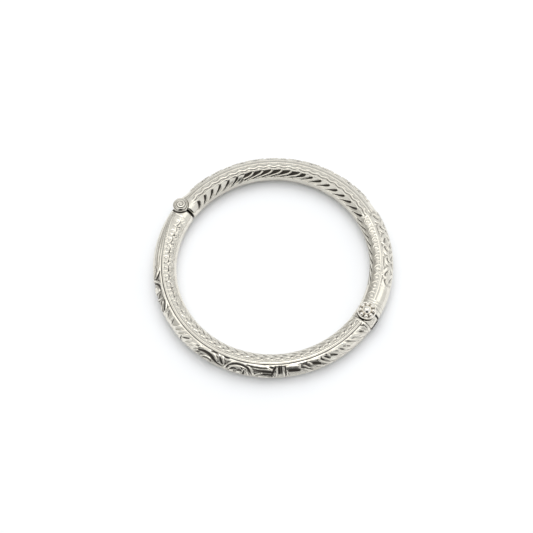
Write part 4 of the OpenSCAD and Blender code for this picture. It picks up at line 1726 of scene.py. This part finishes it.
@dataclass(frozen=True)
class Studio:
    """A white sweep, a soft dome, two soft lights and the photograph's camera."""

    azimuth: float = 6.0
    elevation: float = 65.0
    roll: float = 6.1
    distance: float = 1050.0
    focal: float = 170.9
    # How far the ring's centre lies right of and above the middle of the picture, in mm
    off_right: float = 2.64
    off_up: float = 0.25
    sweep_half_side: float = 3000.0
    # Where the dome's dark patch lies
    patch_azimuth: float = 2.0
    patch_elevation: float = 25.5

    def camera(self) -> None:
        """Makes the camera at the photograph's angle, turned a little about its own axis."""
        roll = math.radians(self.roll)
        back = towards(self.azimuth, self.elevation)
        level = Vector((math.cos(math.radians(self.azimuth)), math.sin(math.radians(self.azimuth)), 0))
        upright_way = back.cross(level)
        right = level * math.cos(roll) - upright_way * math.sin(roll)
        up = level * math.sin(roll) + upright_way * math.cos(roll)
        target = Vector((0, 0, RING.half_h)) - right * self.off_right - up * self.off_up
        data = bpy.data.cameras.new("camera")
        data.lens, data.sensor_width, data.clip_start = self.focal, 36.0, 0.05
        camera = bpy.data.objects.new("camera", data)
        turn = Matrix((right, up, back)).transposed().to_4x4()
        camera.matrix_world = Matrix.Translation((target + back * self.distance) * MM) @ turn
        bpy.context.scene.collection.objects.link(camera)
        bpy.context.scene.camera = camera

    def floor(self) -> None:
        """A pale matt floor under the ring."""
        side = self.sweep_half_side
        points = np.array([(-side, -side, 0), (side, -side, 0), (side, side, 0), (-side, side, 0)], float)
        floor = mesh_piece("floor", points, [[0, 1, 2, 3]])
        material = bpy.data.materials.new("floor_matt_white_paper")
        material.use_nodes = True
        shader = material.node_tree.nodes["Principled BSDF"]
        shader.inputs["Base Color"].default_value = linear("#f3f4f6")
        shader.inputs["Roughness"].default_value = 0.9
        shader.inputs["Specular IOR Level"].default_value = 0.1
        floor.data.materials.append(material)

    def dome(self) -> None:
        """A soft dome with brighter zones, and a dark patch low on the camera's side."""
        world = bpy.data.worlds.new("dome")
        bpy.context.scene.world = world
        world.use_nodes = True
        tree = world.node_tree
        tree.nodes.clear()
        way = add_node(tree, "ShaderNodeTexCoord").outputs["Generated"]

        def zone(direction: Vector, low: float, high: float) -> Socket:
            """A smooth zone round a direction, from the cosine low at its edge to high inside.

            Args:
                direction: the zone's middle.
                low: cosine of the angle at its edge.
                high: cosine of the angle within which it is full.

            Returns:
                Its share, from 0 to 1.
            """
            settings = {"operation": "DOT_PRODUCT", 1: direction.normalized()}
            facing = add_node(tree, "ShaderNodeVectorMath", settings, {0: way}).outputs["Value"]
            settings = {"interpolation_type": "SMOOTHSTEP", "From Min": low, "From Max": high}
            return add_node(tree, "ShaderNodeMapRange", settings, {"Value": facing}).outputs[0]

        # Zones: direction, cosines at edge and inside, and level
        zones = (
            # A greyer wall on the left
            ((-0.9, 0.4, 0.25), 0.55, 0.97, 0.5),
            # Soft boxes overhead
            ((0.0, -0.05, 1.0), 0.9, 0.975, 1.4), ((0.04, -0.1, 1.0), 0.977, 0.99, 2.5),
            ((0.55, 0.25, 0.8), 0.93, 0.98, 1.35), ((-0.5, 0.25, 0.83), 0.94, 0.985, 1.4),
            # The dark room behind the camera
            (towards(self.patch_azimuth, self.patch_elevation), 0.8, 0.925, 0.02),
        )
        before: dict = {}
        for direction, low, high, level in zones:
            settings = {"data_type": "RGBA", 6: (0.82, 0.83, 0.84, 1), 7: (level, level, 0.985 * level, 1)}
            links = {0: zone(Vector(direction), low, high), **before}
            before = {6: add_node(tree, "ShaderNodeMix", settings, links).outputs[2]}
        light = add_node(tree, "ShaderNodeBackground", {"Strength": 1.0}, {"Color": before[6]}).outputs[0]
        add_node(tree, "ShaderNodeOutputWorld", links={"Surface": light})

    def lamp(self, name: str, place: tuple[float, float, float], size: float, watts: float) -> None:
        """A square soft light in mm, aimed at the ring.

        Args:
            name: its name.
            place: its place in mm.
            size: its side in mm.
            watts: its power.
        """
        data = bpy.data.lights.new(name, "AREA")
        data.size, data.energy = size * MM, watts
        lamp = bpy.data.objects.new(name, data)
        lamp.location = Vector(place) * MM
        lamp.rotation_euler = (-Vector(place)).to_track_quat("-Z", "Y").to_euler()
        # The silver mirrors the dome alone, which stands for the lamp's soft box
        lamp.visible_glossy = False
        bpy.context.scene.collection.objects.link(lamp)

    def build(self) -> None:
        """Builds the camera, floor and lights."""
        self.camera()
        self.floor()
        self.dome()
        self.lamp("key", (60, 720, 1050), 900, 4.35)
        self.lamp("overhead", (0, 0, 1500), 1800, 2.9)
        bpy.context.scene.view_settings.view_transform = "Standard"


def main() -> None:
    """Builds the halves, the hinge, the clasp and the studio."""
    logging.basicConfig(level=logging.INFO, format="%(name)s: %(message)s")
    # Its dark colour is tarnish in hollows and painted shade in seams and under parts
    silver = ChasedSilver("silver_chased_with_tarnish_and_painted_shade").make()
    cap_silver = ChasedSilver("silver_engraved_cap", worn="#d3cdc2", roughness=0.16).make()
    # Its dark colour is tarnish and painted shade between the balls and at their feet
    rosette_silver = ChasedSilver(
        "silver_balls_on_plate", bright="#f8f4ec", worn="#f0ebe1", tarnish="#3b342c", mark_depth_mm=0.004
    ).make()
    FrontHalf().build(silver)
    BackHalf().build(silver)
    Hinge().build(silver, cap_silver)
    Clasp().build(silver, rosette_silver)
    Studio().build()


if __name__ == "__main__":
    main()
